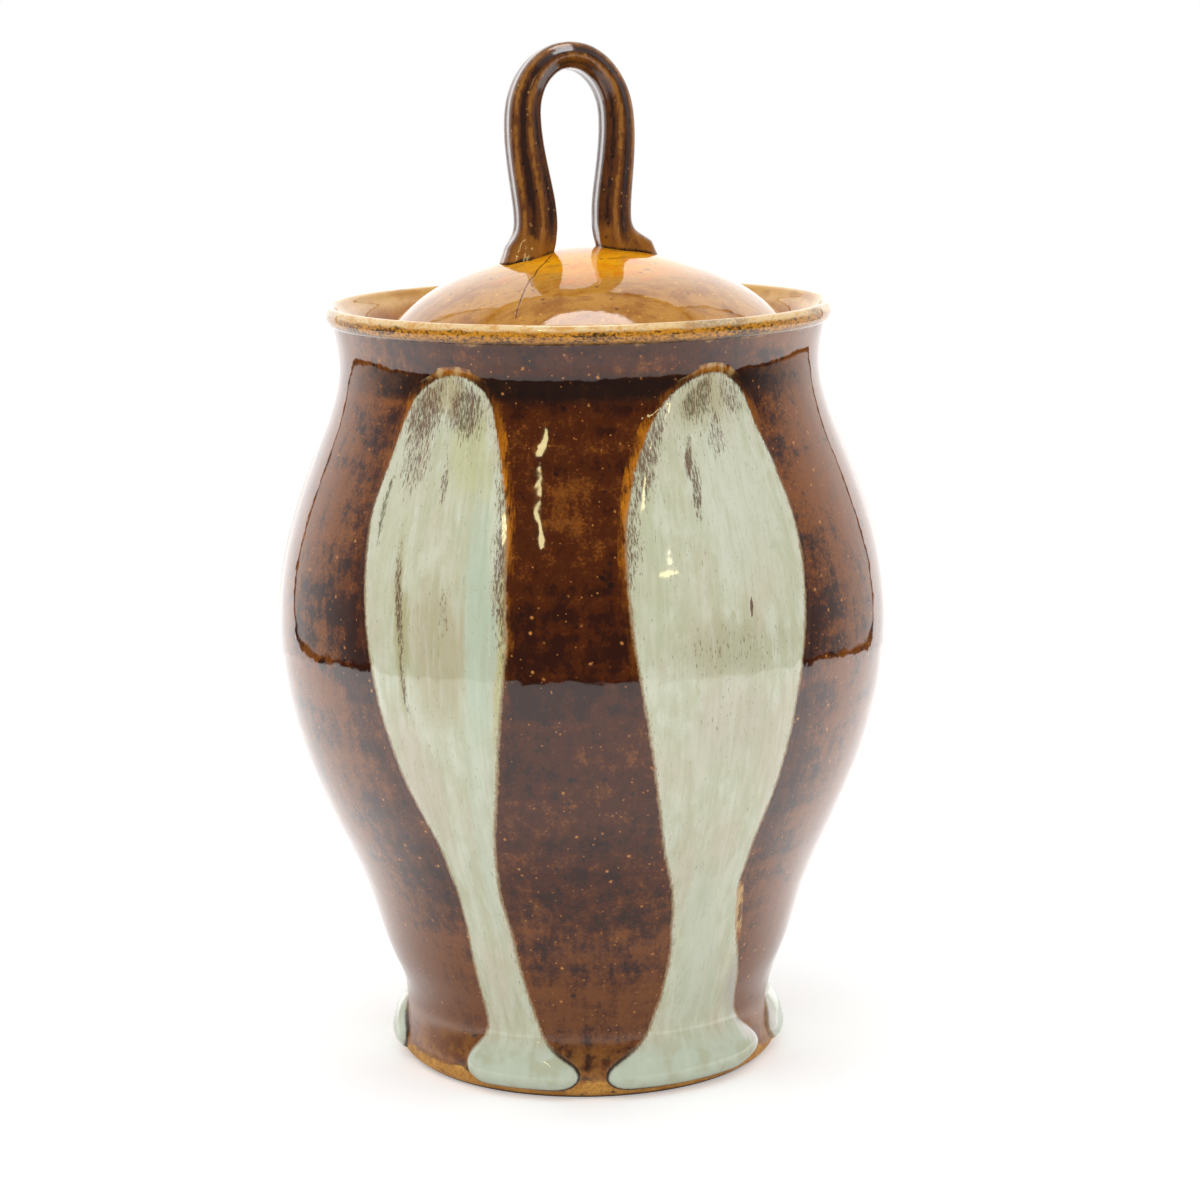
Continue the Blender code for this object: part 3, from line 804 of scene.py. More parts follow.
def lid_profile(dome):
    """The lid's section, from the middle of its underside, round its edge, to its apex."""
    hollow_radius = LID_RADIUS - LID_SEAT_WIDTH
    hollow_rise = LID_RISE - LID_WALL
    rows = []
    for turn in np.linspace(0, pi / 2, LID_HOLLOW_ROWS)[:-1]:
        rows.append((hollow_radius * sin(turn), hollow_rise * cos(turn)**1.25, 0.6))
    seat_end = LID_RADIUS - LID_EDGE_HEIGHT * 0.4
    for radius in (hollow_radius, hollow_radius + 0.3 * MM, seat_end - 0.3 * MM):
        rows.append((radius, 0, 0.0))
    edge = [(seat_end, 0), (LID_RADIUS, LID_EDGE_HEIGHT * 0.45), (LID_RADIUS, LID_EDGE_HEIGHT)]
    for radius, height in smooth_path(edge, LID_EDGE_ROWS)[:-1]:
        rows.append((radius, height, 0.2))
    for turn in np.linspace(pi / 2, 0, LID_DOME_ROWS):
        radius = LID_RADIUS * sin(turn)
        rows.append((radius, float(dome(radius)), 1.0 if radius > 1 * MM else 0.0))
    return [(radius, LID_SEAT + height, relief) for radius, height, relief in rows]


def half_loop(side):
    """Points on the middle line of one half of the loop, from below the lid's surface to the top."""
    arch_foot = HANDLE_RISE - HANDLE_THICKNESS / 2 - HANDLE_ARCH_RISE
    points = [(HANDLE_HALF_WIDTH * across, HANDLE_RISE * up) for across, up in HANDLE_LEG_SHARES[::-1]]
    for turn in np.linspace(0, pi / 2, 7):
        points.append((HANDLE_HALF_WIDTH * cos(turn), arch_foot + HANDLE_ARCH_RISE * sin(turn)))
    return [(side * across, up) for across, up in smooth_path(points, HANDLE_HALF_STEPS + 1)]


def handle_section(turn):
    """The strap's fluted section at an angle: shares of thickness, depth and toe, and its shade."""
    across, deep = cos(turn), sin(turn)
    reach = (abs(across)**HANDLE_SQUARENESS + abs(deep)**HANDLE_SQUARENESS)**(-1 / HANDLE_SQUARENESS)
    shade = 0
    for middle, width, level in HANDLE_SHADES:
        shade += level * exp(-((across * reach - middle) / width)**2)
    reach -= cos(HANDLE_FLUTES * turn) * HANDLE_FLUTE / HANDLE_DEPTH
    return across * reach / 2, deep * reach / 2, max(0.0, across)**HANDLE_TOE_ROUNDNESS, shade


def pulled_handle(dome, glaze):
    """The strap, swept along the whole loop, with its feet smeared onto the lid."""
    path = half_loop(-1) + half_loop(1)[-2::-1]
    thickness = rounded_line(HANDLE_THICKNESS_SHARES, HANDLE_THICKNESS_SOFTNESS)
    toe_tip = float(dome(HANDLE_TOE_RADIUS)) - LID_RISE
    shape = bmesh.new()
    tone = shape.verts.layers.float.new("tone")
    foot = shape.verts.layers.float.new("foot")
    sections = [handle_section(tau * side / HANDLE_SIDES) for side in range(HANDLE_SIDES)]
    rings = []
    last = len(path) - 1
    for i, (x, z) in enumerate(path):
        ahead, behind = path[min(i + 1, last)], path[max(i - 1, 0)]
        along = np.array([ahead[0] - behind[0], ahead[1] - behind[1]])
        along /= np.linalg.norm(along)
        way = 2 * i / last - 1
        thick = HANDLE_THICKNESS * float(thickness(1 - abs(way)))
        thick *= 1 - HANDLE_LEFT_GAIN_SHARE * sin(way * pi / 2)
        toe = HANDLE_TOE_REACH * exp(-(max(0.0, z - toe_tip) / HANDLE_TOE_RISE)**2)
        if way < 0:
            toe *= HANDLE_LEFT_TOE_SHARE
        ring = []
        for across, deep, outward, shade in sections:
            out = across * thick + outward * toe
            back = deep * HANDLE_DEPTH
            up = z + along[0] * out
            py = back * cos(HANDLE_BACK_LEAN) + up * sin(HANDLE_BACK_LEAN)
            pz = up * cos(HANDLE_BACK_LEAN) - back * sin(HANDLE_BACK_LEAN)
            px = x - along[1] * out - pz * tan(HANDLE_SIDE_LEAN) - HANDLE_OFFSET
            surface = float(dome(min(np.hypot(px, py), LID_RADIUS))) - LID_RISE
            point = shape.verts.new((px + LID_MIDDLE, py, LID_HIGH.z + max(pz, surface - HANDLE_SINK)))
            point[tone] = shade
            point[foot] = (pz - surface) / MM
            ring.append(point)
        rings.append(ring)
    for ring, following in zip(rings, rings[1:]):
        for side in range(HANDLE_SIDES):
            after = (side + 1) % HANDLE_SIDES
            shape.faces.new((ring[side], ring[after], following[after], following[side]))
    shape.faces.new(rings[0][::-1])
    shape.faces.new(rings[-1])
    return plain_piece("pulled_handle", shape, glaze)


def run_edges(edges, width, mirrored):
    """A run's left and right edge, as functions from its share of height to an angle."""
    sides = []
    for column in (1, 2):
        points = [(row[0], row[column] * RUN_HALF_TURN * width) for row in edges]
        sides.append(rounded_line(points, RUN_EDGE_SOFTNESS))
    if mirrored:
        left, right = sides
        return (lambda up: -right(up)), (lambda up: -left(up))
    return sides


def soft_outline(points, reach):
    """A closed outline with its corners rounded over the given reach."""
    corners = np.array(points + points[:1])
    lengths = np.concatenate([[0], np.cumsum(np.hypot(*np.diff(corners, axis=0).T))])
    places = np.arange(0, lengths[-1], OUTLINE_STEP)
    even = np.stack([np.interp(places, lengths, corners[:, axis]) for axis in (0, 1)], axis=1)
    half = int(reach / OUTLINE_STEP)
    weights = np.hanning(2 * half + 3)[1:-1]
    weights /= weights.sum()
    return sum(weight * np.roll(even, step - half, axis=0) for step, weight in enumerate(weights))


def depth_inside(points, outline):
    """How far each point lies inside a closed outline in a plane, less than 0 outside it."""
    nearest = np.full(len(points), np.inf)
    inside = np.zeros(len(points), dtype=bool)
    for start, end in zip(outline, np.roll(outline, -1, axis=0)):
        span = end - start
        share = np.clip(((points - start) @ span) / (span @ span), 0, 1)
        gap = points - start - share[:, None] * span
        nearest = np.minimum(nearest, np.hypot(gap[:, 0], gap[:, 1]))
        if start[1] != end[1]:
            crossed = (start[1] > points[:, 1]) != (end[1] > points[:, 1])
            crossing = start[0] + (points[:, 1] - start[1]) * span[0] / span[1]
            inside ^= crossed & (points[:, 0] < crossing)
    return np.where(inside, nearest, -nearest)


def run_sheet(edges, mirrored, wall):
    """The grid of a run, row by row: heights, turns, shares across, insets and glaze thickness."""
    left, right = edges
    pool_start = POOL_TOP + 2 * MM
    heights = np.concatenate([
        np.linspace(RUN_TOP + RUN_MARGIN, pool_start, RUN_WALL_ROWS)[:-1],
        np.linspace(pool_start, RUN_FOOT - RUN_TUCK, RUN_POOL_ROWS)])
    radii = np.where(heights > FLARE_HEIGHT, wall(np.maximum(heights, FLARE_HEIGHT)), FLARE_RADIUS)
    ups = np.clip((heights - RUN_FOOT) / (RUN_TOP - RUN_FOOT), 0, 1)
    lefts, rights = left(ups), right(ups)
    shares = -np.cos(pi * np.arange(RUN_COLUMNS) / (RUN_COLUMNS - 1))
    middles = (lefts + rights) / 2
    halves = (rights - lefts) / 2
    turns = middles[:, None] + (halves + RUN_MARGIN / radii)[:, None] * shares
    halves = np.maximum(halves, RUN_LEAST_HALF_WIDTH / BELLY_RADIUS)
    acrosses = (turns - middles[:, None]) / halves[:, None]
    if mirrored:
        acrosses = -acrosses

    drops = np.concatenate([[0], np.cumsum(np.hypot(np.diff(heights), np.diff(radii)))])
    flat = np.stack([turns * radii[:, None], np.repeat(drops[:, None], RUN_COLUMNS, axis=1)], axis=-1)
    rows = (heights <= RUN_TOP) & (heights >= RUN_FOOT)
    left_side, right_side = (
        list(zip(edge[rows] * radii[rows], drops[rows])) for edge in (lefts, rights))
    outline = soft_outline(left_side + right_side[::-1], RUN_ROUNDING)
    insets = depth_inside(flat.reshape(-1, 2), outline).reshape(turns.shape)

    film = -RUN_DIP + (RUN_DIP + RUN_EDGE) * ease(insets, -RUN_MARGIN, -RUN_SKIRT)
    film += RUN_FILM * ease(insets, -RUN_FILM_OUT, RUN_FILM_IN)
    pooled = 1 - ease(heights, POOL_SHOULDER, POOL_TOP)
    bead = np.sqrt(1 - (1 - np.clip((insets + POOL_OUT) / POOL_ROUNDING, 0, 1))**2)
    film += POOL_THICKNESS * pooled[:, None] * bead
    return heights, turns, acrosses, insets, film


def run_layer(name, bearing, sheet, jar, glaze):
    """A poured run: a thin closed layer on the jar's wall, which ends in a thick pool."""
    heights, turns, acrosses, insets, film = sheet
    shape = bmesh.new()
    layers = {key: shape.verts.layers.float.new(key) for key in ("inset", "across", "up")}
    outer, inner = [], []
    for i, height in enumerate(heights):
        outer.append([])
        inner.append([])
        for j in range(RUN_COLUMNS):
            turn = bearing + turns[i, j]
            out = Vector((sin(turn), -cos(turn), 0))
            start = out * (BELLY_RADIUS * 1.4) + Vector((0, 0, height))
            hit = jar.ray_cast(start, -out)[0]
            reach = Vector((hit.x, hit.y, 0)).length
            for layer, lift in ((outer, film[i, j]), (inner, -RUN_SINK)):
                point = shape.verts.new(out * (reach + lift) + Vector((0, 0, height)))
                point[layers["inset"]] = insets[i, j] / MM
                point[layers["across"]] = acrosses[i, j]
                point[layers["up"]] = (height - RUN_FOOT) / (RUN_TOP - RUN_FOOT)
                layer[-1].append(point)
    for layer in (outer, inner):
        for row, below in zip(layer, layer[1:]):
            for j in range(RUN_COLUMNS - 1):
                shape.faces.new((row[j], row[j + 1], below[j + 1], below[j]))
    borders = [border_of(outer), border_of(inner)]
    for i in range(len(borders[0])):
        shape.faces.new((borders[0][i - 1], borders[0][i], borders[1][i], borders[1][i - 1]))
    return plain_piece(name, shape, glaze)


def border_of(grid):
    """The corner points round the edge of a grid, in order."""
    sides = [row[-1] for row in grid[1:-1]]
    return grid[0] + sides + grid[-1][::-1] + [row[0] for row in grid[-2:0:-1]]


def new_material(name):
    """A material, its graph, its shader's inputs and the place on the piece that it paints."""
    material = bpy.data.materials.new(name)
    material.use_nodes = True
    g = Graph(material.node_tree)
    inputs = material.node_tree.nodes["Principled BSDF"].inputs
    return material, g, inputs, g.node("ShaderNodeTexCoord").other("Object")


def glazed(name, paint, *looks):
    """A glaze, whose colour, roughness and height at a place the function paint gives."""
    material, g, inputs, place = new_material(name)
    colour, roughness, relief = paint(g, place, *looks)
    bump = g.node("ShaderNodeBump", None, {"Height": relief, "Distance": 1.0})
    g.feed_all(inputs, {
        "Base Color": colour, "Roughness": roughness, "Normal": bump, "IOR": GLAZE_IOR})
    return material


def unrolled(g, place):
    """The place moved to one radius, so that a pattern runs straight up and down the wall."""
    x, y, z = g.split(place)
    away = g.length(x, y)
    return g.joined(x / away * UNROLLED_RADIUS, y / away * UNROLLED_RADIUS, z), away, z


def as_seen(x, y, away):
    """A flat direction as the camera sees it: its shares to the right and to the back."""
    right = (x * cos(CAMERA_TURN) + y * sin(CAMERA_TURN)) / away
    back = (y * cos(CAMERA_TURN) - x * sin(CAMERA_TURN)) / away
    return right, back


def jar_places(g, place):
    """Where a place lies on the jar, and the noises that the zones of its glaze share."""
    x, y, _ = g.split(place)
    ring, away, z = unrolled(g, place)
    right, back = as_seen(x, y, away)
    mottle = g.noise(place, 5, 5.0, 0.68)
    return SimpleNamespace(
        place=place, ring=ring, away=away, z=z, right=right, back=back, mottle=mottle,
        lines=g.noise(place, (60, 60, 4), 1.5),
        grain=g.noise(place, 0.8, 3.0, 0.75),
        ragged=g.noise(place, (5, 5, 1.2), 3.0, 0.6),
        smudges=g.rise(g.noise(place, (9, 9, 3), 2.0), 0.50, 0.66),
        iron=g.specks(place, 5.0, 0.66, 0.60, mottle))


def wall_zone(g, at):
    """The wall's glaze: deep, red or amber by thickness and painted light, full of specks, with
    painted shade.
    """
    z, mottle, grain = at.z, at.mottle, at.grain
    drips = g.noise(at.ring, (2.5, 2.5, 10), 3.0, 0.6)
    cloud = g.noise(at.place, 22, 2.0)
    # Painted light: the wall turns lighter amber at its sides as the camera sees them, and at its
    # upper right
    side = g.rise(at.right * at.right, 0.30, 0.88)
    painted_right_top_light = g.rise(at.right, 0.5, 0.95) * g.rise(z, 110 * MM, 150 * MM)
    # Towards the foot the glaze turns more amber and mottled: partly its own colour, partly painted
    # warm light thrown back by the table
    low = 1 - g.rise(z, 22 * MM, 70 * MM)
    tone = at.lines * 0.6 + mottle * 1.5 + cloud * 0.5 + drips * 0.6 + grain * 0.5 - 1.83
    # Painted shade: a darker belt over the belly, across the front as the camera sees it, none at the
    # sides
    tone = tone - g.band(z, BELT_SHADE_BAND) * (1 - side) * 0.26 + g.rise(z, 118 * MM, 136 * MM) * 0.04
    tone = tone - low * (mottle - 0.5) * 0.7
    # How amber the glaze is: its tone, plus the painted light at the sides, the upper right and
    # towards the foot
    thin = tone + side * 0.45 + low * 0.32 + painted_right_top_light * 0.20 - 0.06
    rust = g.rise(grain * 1.1 + thin * 0.55, 0.64, 0.92) * (1 - low * 0.6)
    specks = g.specks(at.place, 4.0, 0.40, 0.60, grain)
    specks = g.most(specks, g.specks(at.place, 1.9, 0.22, 0.55, grain) * 0.8)
    return g.coats(
        RED_BROWN,
        (g.rise(tone, 0.02, -0.26) * 0.95, DEEP_BROWN),
        (g.rise(thin, 0.00, 0.42) * 0.9, AMBER_BROWN),
        (rust * 0.50, RUST),
        # Painted shade under the lip, weaker at the sides as the camera sees them
        (g.band(z, NECK_SHADE_BAND) * (1 - side * 0.8) * 0.85, IRON_AND_SHADE),
        (at.iron * 0.8, IRON_AND_SHADE),
        (specks * 0.85, HONEY))


def lip_zone(g, at):
    """The lip's glaze: peppered tan on its side, cream and painted highlight with patches on its top.
    """
    z, mottle = at.z, at.mottle
    pepper = g.noise(at.place, (0.9, 0.9, 0.6), 3.0, 0.7)
    foot = 1 - g.rise(z + (mottle - 0.5) * 2 * MM, LIP_BOTTOM + 0.5 * MM, LIP_BOTTOM + 1.2 * MM)
    side_colour = g.coats(
        LIP_DARK,
        (g.rise(pepper - at.smudges * 0.14, 0.34, 0.56), LIP_TAN),
        (g.rise(mottle, 0.50, 0.66) * 0.5, AMBER_BROWN),
        (foot * 0.6, LIP_DARK))
    # The lip's top: pale cream, partly its own glaze and partly a painted highlight along the rim
    top_colour = g.mix(g.rise(mottle * 0.6 + pepper * 0.4, 0.46, 0.60) * 0.7, LIP_CREAM_AND_HIGHLIGHT, LIP_TAN)
    bearing = at.right.math("ARCTAN2", at.right, at.back * -1)
    # Grey and dark patches laid on the lip's top, at bearings from the side facing the camera
    for middle, half_width, patch_colour in LIP_TOP_PATCHES:
        aside = (bearing - middle) / half_width
        patch = 1 - g.rise(aside * aside + (pepper - 0.5) * 3, 0.5, 1.1)
        top_colour = g.mix(patch * g.rise(pepper, 0.32, 0.56) * 0.5, top_colour, patch_colour)
    top = g.rise(z + (mottle - 0.5) * 2.4 * MM, RIM_HEIGHT - 1.8 * MM, RIM_HEIGHT - 1.0 * MM)
    return g.mix(top, side_colour, top_colour)


def inner_rim_zone(g, at):
    """The share that the inside of the rim takes, and its glaze, with painted shade low by the lid."""
    inward = at.away - (at.z - LEDGE_HEIGHT) * RIM_SLOPE
    share = 1 - g.rise(inward, RIM_INSIDE - 0.3 * MM, RIM_INSIDE + 0.3 * MM)
    height = at.z + (at.mottle - 0.5) * 7 * MM
    # Painted shade: darker amber low in the gallery by the lid, paler tan higher up the rim
    colour = g.coats(
        RIM_AMBER,
        (g.rise(height, LEDGE_HEIGHT + 4.5 * MM, RIM_HEIGHT - 1 * MM), RIM_TAN),
        (at.smudges * 0.45, RIM_AMBER),
        (g.rise(at.grain, 0.58, 0.72) * 0.5, CLAY_SHADE))
    return share * g.rise(at.z, LEDGE_HEIGHT - 3 * MM, LEDGE_HEIGHT), colour


def clay_zone(g, at):
    """The bare clay of the foot."""
    return g.coats(
        CLAY,
        (g.rise(at.grain * 0.6 + at.mottle * 0.4, 0.42, 0.58), CLAY_SHADE),
        (g.rise(at.z, 1.0 * MM, 0.3 * MM) * 0.85, CLAY_SHADOW),
        (at.iron * 0.8, IRON_AND_SHADE))


def brown_glaze(g, place):
    """The iron-brown glaze on the jar: its colour, roughness and height at a place."""
    at = jar_places(g, place)
    lip_edge = at.z + (at.ragged - 0.5) * 1.8 * MM
    drip = g.rise(lip_edge, LIP_BOTTOM - 0.35 * MM, LIP_BOTTOM - 0.05 * MM)
    lip = g.rise(lip_edge, LIP_BOTTOM + 0.1 * MM, LIP_BOTTOM + 0.4 * MM)
    foot_edge = at.z + (at.ragged - 0.5) * 4 * MM + (at.mottle - 0.5) * 3 * MM
    wiped = 1 - g.rise(foot_edge, 6 * MM, 17 * MM)
    bare = 1 - g.rise(foot_edge, 4.4 * MM, 5.6 * MM)
    colour = g.coats(
        wall_zone(g, at),
        (drip * g.rise(at.mottle, 0.45, 0.65) * 0.6, LIP_DRIP),
        (lip, lip_zone(g, at)),
        inner_rim_zone(g, at),
        (wiped * g.rise(at.mottle, 0.40, 0.62) * 0.9, THIN_AMBER),
        (bare, clay_zone(g, at)))
    matt = 1 - g.rise(at.z, 8 * MM, 26 * MM)
    roughness = WALL_ROUGHNESS + matt * FOOT_ROUGHNESS + bare * CLAY_ROUGHNESS
    relief = g.noise(place, 7, 2.0) * WAVE_RELIEF + at.lines * LINE_RELIEF
    return colour, roughness, relief


def by_line(x, y, start, end):
    """Where a place lies by a line: how far along it from its middle, and how far aside."""
    along = (end - start).normalized()
    middle = (start + end) / 2
    x = x - middle.x
    y = y - middle.y
    return x * along.x + y * along.y, x * along.y - y * along.x


def crack_line(g, place):
    """The share that the hairline crack takes at a place on the lid."""
    x, y, _ = g.split(place)
    forth, aside = by_line(x - LID_MIDDLE, y, CRACK_START, CRACK_END)
    forth = forth / ((CRACK_END - CRACK_START).length / 2)
    waver = (g.noise(place, 2.5, 2.0) - 0.5) * 1.2 * MM
    aside = abs(aside - (1 - forth * forth) * CRACK_BOW + waver)
    line = 1 - g.rise(aside, CRACK_WIDTH * 0.5, CRACK_WIDTH * 1.6)
    return line * (1 - g.rise(forth * forth, 0.92, 1.0))


def lid_glaze(g, place):
    """The lid's amber glaze: clear round the handle and painted brighter against its shade, tan and
    speckled further out, with a crack.
    """
    x, y, _ = g.split(place)
    away = g.length(x - LID_MIDDLE, y)
    grain = g.noise(place, 1.1, 3.0, 0.7)
    cloud = g.noise(place, 9, 3.0, 0.6)
    streaks = g.noise(place, (9, 3, 9), 3.0, 0.6)
    tone = cloud + grain * 0.5 + streaks * 0.5 - 1.0
    outer = g.mix(g.rise(tone, 0.10, -0.20) * 0.9, LID_TAN, LID_SHADE)
    dust = g.most(g.specks(place, 3.2, 0.50, 0.50, grain) * 0.8, g.rise(grain, 0.56, 0.70) * 0.45)
    sparks = g.most(g.specks(place, 2.4, 0.34, 0.50, grain), g.rise(grain, 0.42, 0.32) * 0.3)
    crack = crack_line(g, place)
    # Painted light: the amber round the handle is made brighter to make up for the shade the handle
    # casts
    colour = g.coats(
        LID_ORANGE,
        (g.rise(tone, -0.16, 0.14), LID_AMBER),
        (g.rise(away + (cloud - 0.5) * 26 * MM, 20.5 * MM, 32 * MM), outer),
        (g.rise(streaks, 0.54, 0.68) * 0.6, LID_SHADE),
        (dust, LID_DUST),
        (sparks * 0.7, LID_SPARK),
        (crack * 0.9, LID_CRACK))
    relief = g.noise(place, 6, 2.0) * WAVE_RELIEF + grain * GRAIN_RELIEF - crack * CRACK_DEPTH
    return colour, LID_ROUGHNESS, relief


def handle_glaze(g, place):
    """The handle's glaze: brown, amber on its ridges, dark in its grooves, thin at its feet."""
    foot = g.attribute("foot")
    grain = g.noise(place, (0.9, 0.9, 1.6), 3.0, 0.72)
    streaks = g.noise(place, (1.6, 1.6, 9), 3.0, 0.6)
    cloud = g.noise(place, 7, 2.0)
    tone = g.attribute("tone") + (streaks - 0.5) * 2.2 + (grain - 0.5) * 1.8 + (cloud - 0.5) * 1.6
    low = 1 - g.rise(foot + (grain - 0.5) * 8 + (cloud - 0.5) * 14, 0.5, 6)
    joint = 1 - g.rise(foot + (grain - 0.5) * 1.5, 0.1, 0.9)
    colour = g.coats(
        HANDLE_DARK,
        (g.rise(tone, -0.9, 0.15), HANDLE_BROWN),
        (g.rise(tone, 0.25, 1.25) * 0.95, HANDLE_AMBER),
        (low * 0.7, HANDLE_FOOT),
        (g.specks(place, 2.2, 0.36, 0.50, grain) * 0.8, IRON_AND_SHADE),
        (g.specks(place, 2.0, 0.28, 0.45, grain) * 0.45, HANDLE_SPARK),
        (joint * g.rise(cloud, 0.36, 0.56), IRON_AND_SHADE))
    lumps = g.noise(place, 4.5, 1.0) * (1 - g.rise(foot, 2.0, 9.0)) * HANDLE_LUMP_RELIEF
    relief = g.noise(place, 4, 3.0) * HANDLE_WAVE_RELIEF + grain * HANDLE_GRAIN_RELIEF + lumps
    return colour, HANDLE_ROUGHNESS, relief


def spots(g, across, up, table, strongest=0.0):
    """The strongest of a table of soft spots on a run: full in its middle, 0 from its edge on."""
    for middle_across, middle_up, half_across, half_up, strength in table:
        aside = (across - middle_across) / half_across
        above = (up - middle_up) / half_up
        strongest = g.most(strongest, (1 - g.rise(aside * aside + above * above, 0.0, 1.0)) * strength)
    return strongest


def run_places(g, place):
    """Where a place lies on a run, and the noises that the layers of its glaze share."""
    ring, _, z = unrolled(g, place)
    pool = 1 - g.rise(z, POOL_SHOULDER, POOL_TOP)
    return SimpleNamespace(
        place=place, ring=ring, pool=pool, on_wall=1 - pool,
        inset=g.attribute("inset"),
        across=g.attribute("across"),
        up=g.attribute("up"),
        hairs=g.noise(ring, (0.5, 0.5, 5), 3.0, 0.7),
        streaks=g.noise(ring, (3.2, 3.2, 22), 3.0, 0.6),
        ragged=g.noise(ring, (0.8, 0.8, 1.4), 3.0, 0.7),
        blotch=g.noise(ring, (3, 3, 6), 3.0, 0.6))


def run_body(g, at, tints):
    """The pale glaze without its flecks: streaky on the wall, glassy in its pool."""
    cloud = g.noise(at.ring, (9, 9, 26), 2.0)
    threads = g.noise(at.ring, (0.9, 0.9, 16), 3.0, 0.65)
    clots = g.rise(g.noise(at.place, 6, 2.0), 0.48, 0.64)
    across = at.across + (at.streaks - 0.5) * 0.6
    up = at.up + (at.blotch - 0.5) * 0.06
    return g.coats(
        CELADON,
        (g.rise(at.streaks * 0.5 + at.blotch * 0.5, 0.40, 0.62), CELADON_LIGHT),
        (g.rise(cloud, 0.46, 0.66) * 0.5, CELADON_CREAM),
        (at.pool * 0.75, POOL_AQUA),
        (at.pool * clots * 0.6, CELADON_SHADE),
        *((spots(g, across, up, [(*where, strength)]), tint) for *where, tint, strength in tints),
        (g.rise(threads, 0.50, 0.66) * at.on_wall * 0.26, CELADON_SHADE),
        (g.rise(threads, 0.48, 0.34) * at.on_wall * 0.30, CELADON_LIGHT),
        (g.rise(at.hairs * 0.6 + at.blotch * 0.4, 0.50, 0.38) * at.on_wall * 0.25, CELADON_SHADE))


def run_flecks(g, at, flecks, colour):
    """Brown and green flecks in the pale glaze: dashes that crowd at its top, edges and marks."""
    dashes = g.noise(at.ring, (0.36, 0.36, 1.8), 3.0, 0.75)
    crowd = (1 - g.rise(at.inset, 0.1, 2.2)) * 0.32 + g.rise(at.up, 0.82, 1.0) * 0.35
    crowd = spots(g, at.across, at.up, flecks, crowd)
    stain = g.rise(crowd + (at.blotch - 0.5) * 2, 0.7, 1.6) * at.on_wall
    marks = g.rise(dashes + crowd * 0.21, 0.61, 0.77) * at.on_wall
    fleck_colour = g.mix(g.rise(at.streaks, 0.50, 0.66), FLECK_BROWN, FLECK_GREEN)
    return g.coats(colour, (stain * 0.35, FLECK_BROWN), (marks * 0.80, fleck_colour))


def run_border(g, at, brown, glows, strong_side, depth):
    """What shows round the pale glaze: the brown, an orange glow, a tan cap and a thin outline."""
    inset, up, hairs, ragged, blotch = at.inset, at.up, at.hairs, at.ragged, at.blotch
    glow = spots(g, at.across + (hairs - 0.5) * 0.3, up, glows, 0.10)
    fade = g.rise(inset + (hairs - 0.5) * 6 + (blotch - 0.5) * 9, -2.9, 0.2)
    fade = fade * g.rise(inset, -3.3, -2.3)
    amber = g.rise(inset + (hairs - 0.5) * 3 + (ragged - 0.5) * 5 + (blotch - 0.5) * 5, -2.2, 0.3)
    cap = g.rise(up + (blotch - 0.5) * 0.03, 0.982, 1.004)
    cap = cap * g.rise(inset + (ragged - 0.5) * 2 + (blotch - 0.5) * 4, -3.0, -1.2)
    rim = g.rise(depth, -0.7, -0.1) * (1 - g.rise(up, 0.70, 0.90))
    centre = g.rise(at.across * strong_side, 0.0, 0.9)
    outline = g.rise(inset + (ragged - 0.5) * 0.6, -0.62, -0.30) * at.pool * (centre * 0.75 + 0.15)
    return g.coats(
        brown,
        (fade * glow, g.mix(amber * glow, HALO_BROWN, HALO_ORANGE)),
        (fade * g.rise(glow, 1.0, 1.3), CAP_TAN),
        (cap * 0.8, g.mix(g.rise(blotch, 0.4, 0.6), HALO_ORANGE, CAP_TAN)),
        (rim * 0.7, HALO_CREAM),
        (outline, EDGE_DARK))


def celadon_glaze(g, place, flecks, tints, glows, strong_side):
    """The pale glaze: it breaks to orange and brown at its ragged edge and is glassy in its pool."""
    brown, brown_roughness, _ = brown_glaze(g, place)
    at = run_places(g, place)
    colour = run_flecks(g, at, flecks, run_body(g, at, tints))
    depth = at.inset + (at.ragged - 0.5) * 1.2 + (at.hairs - 0.5) * 0.9
    border = run_border(g, at, brown, glows, strong_side, depth)
    pool_depth = at.inset + (at.ragged - 0.5) * 0.5
    covered = g.rise(depth * at.on_wall + pool_depth * at.pool, -0.15, 0.5)
    roughness = brown_roughness * (1 - covered) + covered * RUN_ROUGHNESS
    return g.mix(covered, border, colour), roughness, g.noise(place, 7, 2.0) * WAVE_RELIEF


def table_level(g, back):
    """How bright the glazes see the table, by how far to the back it lies."""
    return g.rise(back, -0.95, 0.2) * (TABLE_SIDE_LEVEL - TABLE_LEVEL) + TABLE_LEVEL


def white_floor():
    """A pale floor: white to the camera but for its shadow; mirrors see it brighter at the sides."""
    material, g, inputs, place = new_material("pale_floor")
    camera_rays, mirrored = g.rays()
    x, y, _ = g.split(place)
    away = g.length(x, y, 1e-6)
    _, back = as_seen(x, y, away)
    sheen = table_level(g, back) - FLOOR_LIT
    near = mirrored * (1 - g.rise(away, FLOOR_SHADE_START, FLOOR_SHADE_END)) * TABLE_NEAR_SHADE
    glow = camera_rays * FLOOR_CAMERA_GLOW + mirrored * sheen * (1 - near)
    g.feed_all(inputs, {
        "Base Color": g.tint(FLOOR_WHITE, 1 - near),
        "Emission Color": g.tint((1, 1, 1), glow),
        "Emission Strength": 1.0,
        "Roughness": 0.9,
        "Specular IOR Level": 0})
    return material


def make_floor(material):
    """A round table top under the jar."""
    shape = bmesh.new()
    bmesh.ops.create_circle(shape, cap_ends=True, segments=128, radius=FLOOR_RADIUS)
    floor = plain_piece("floor", shape, material)


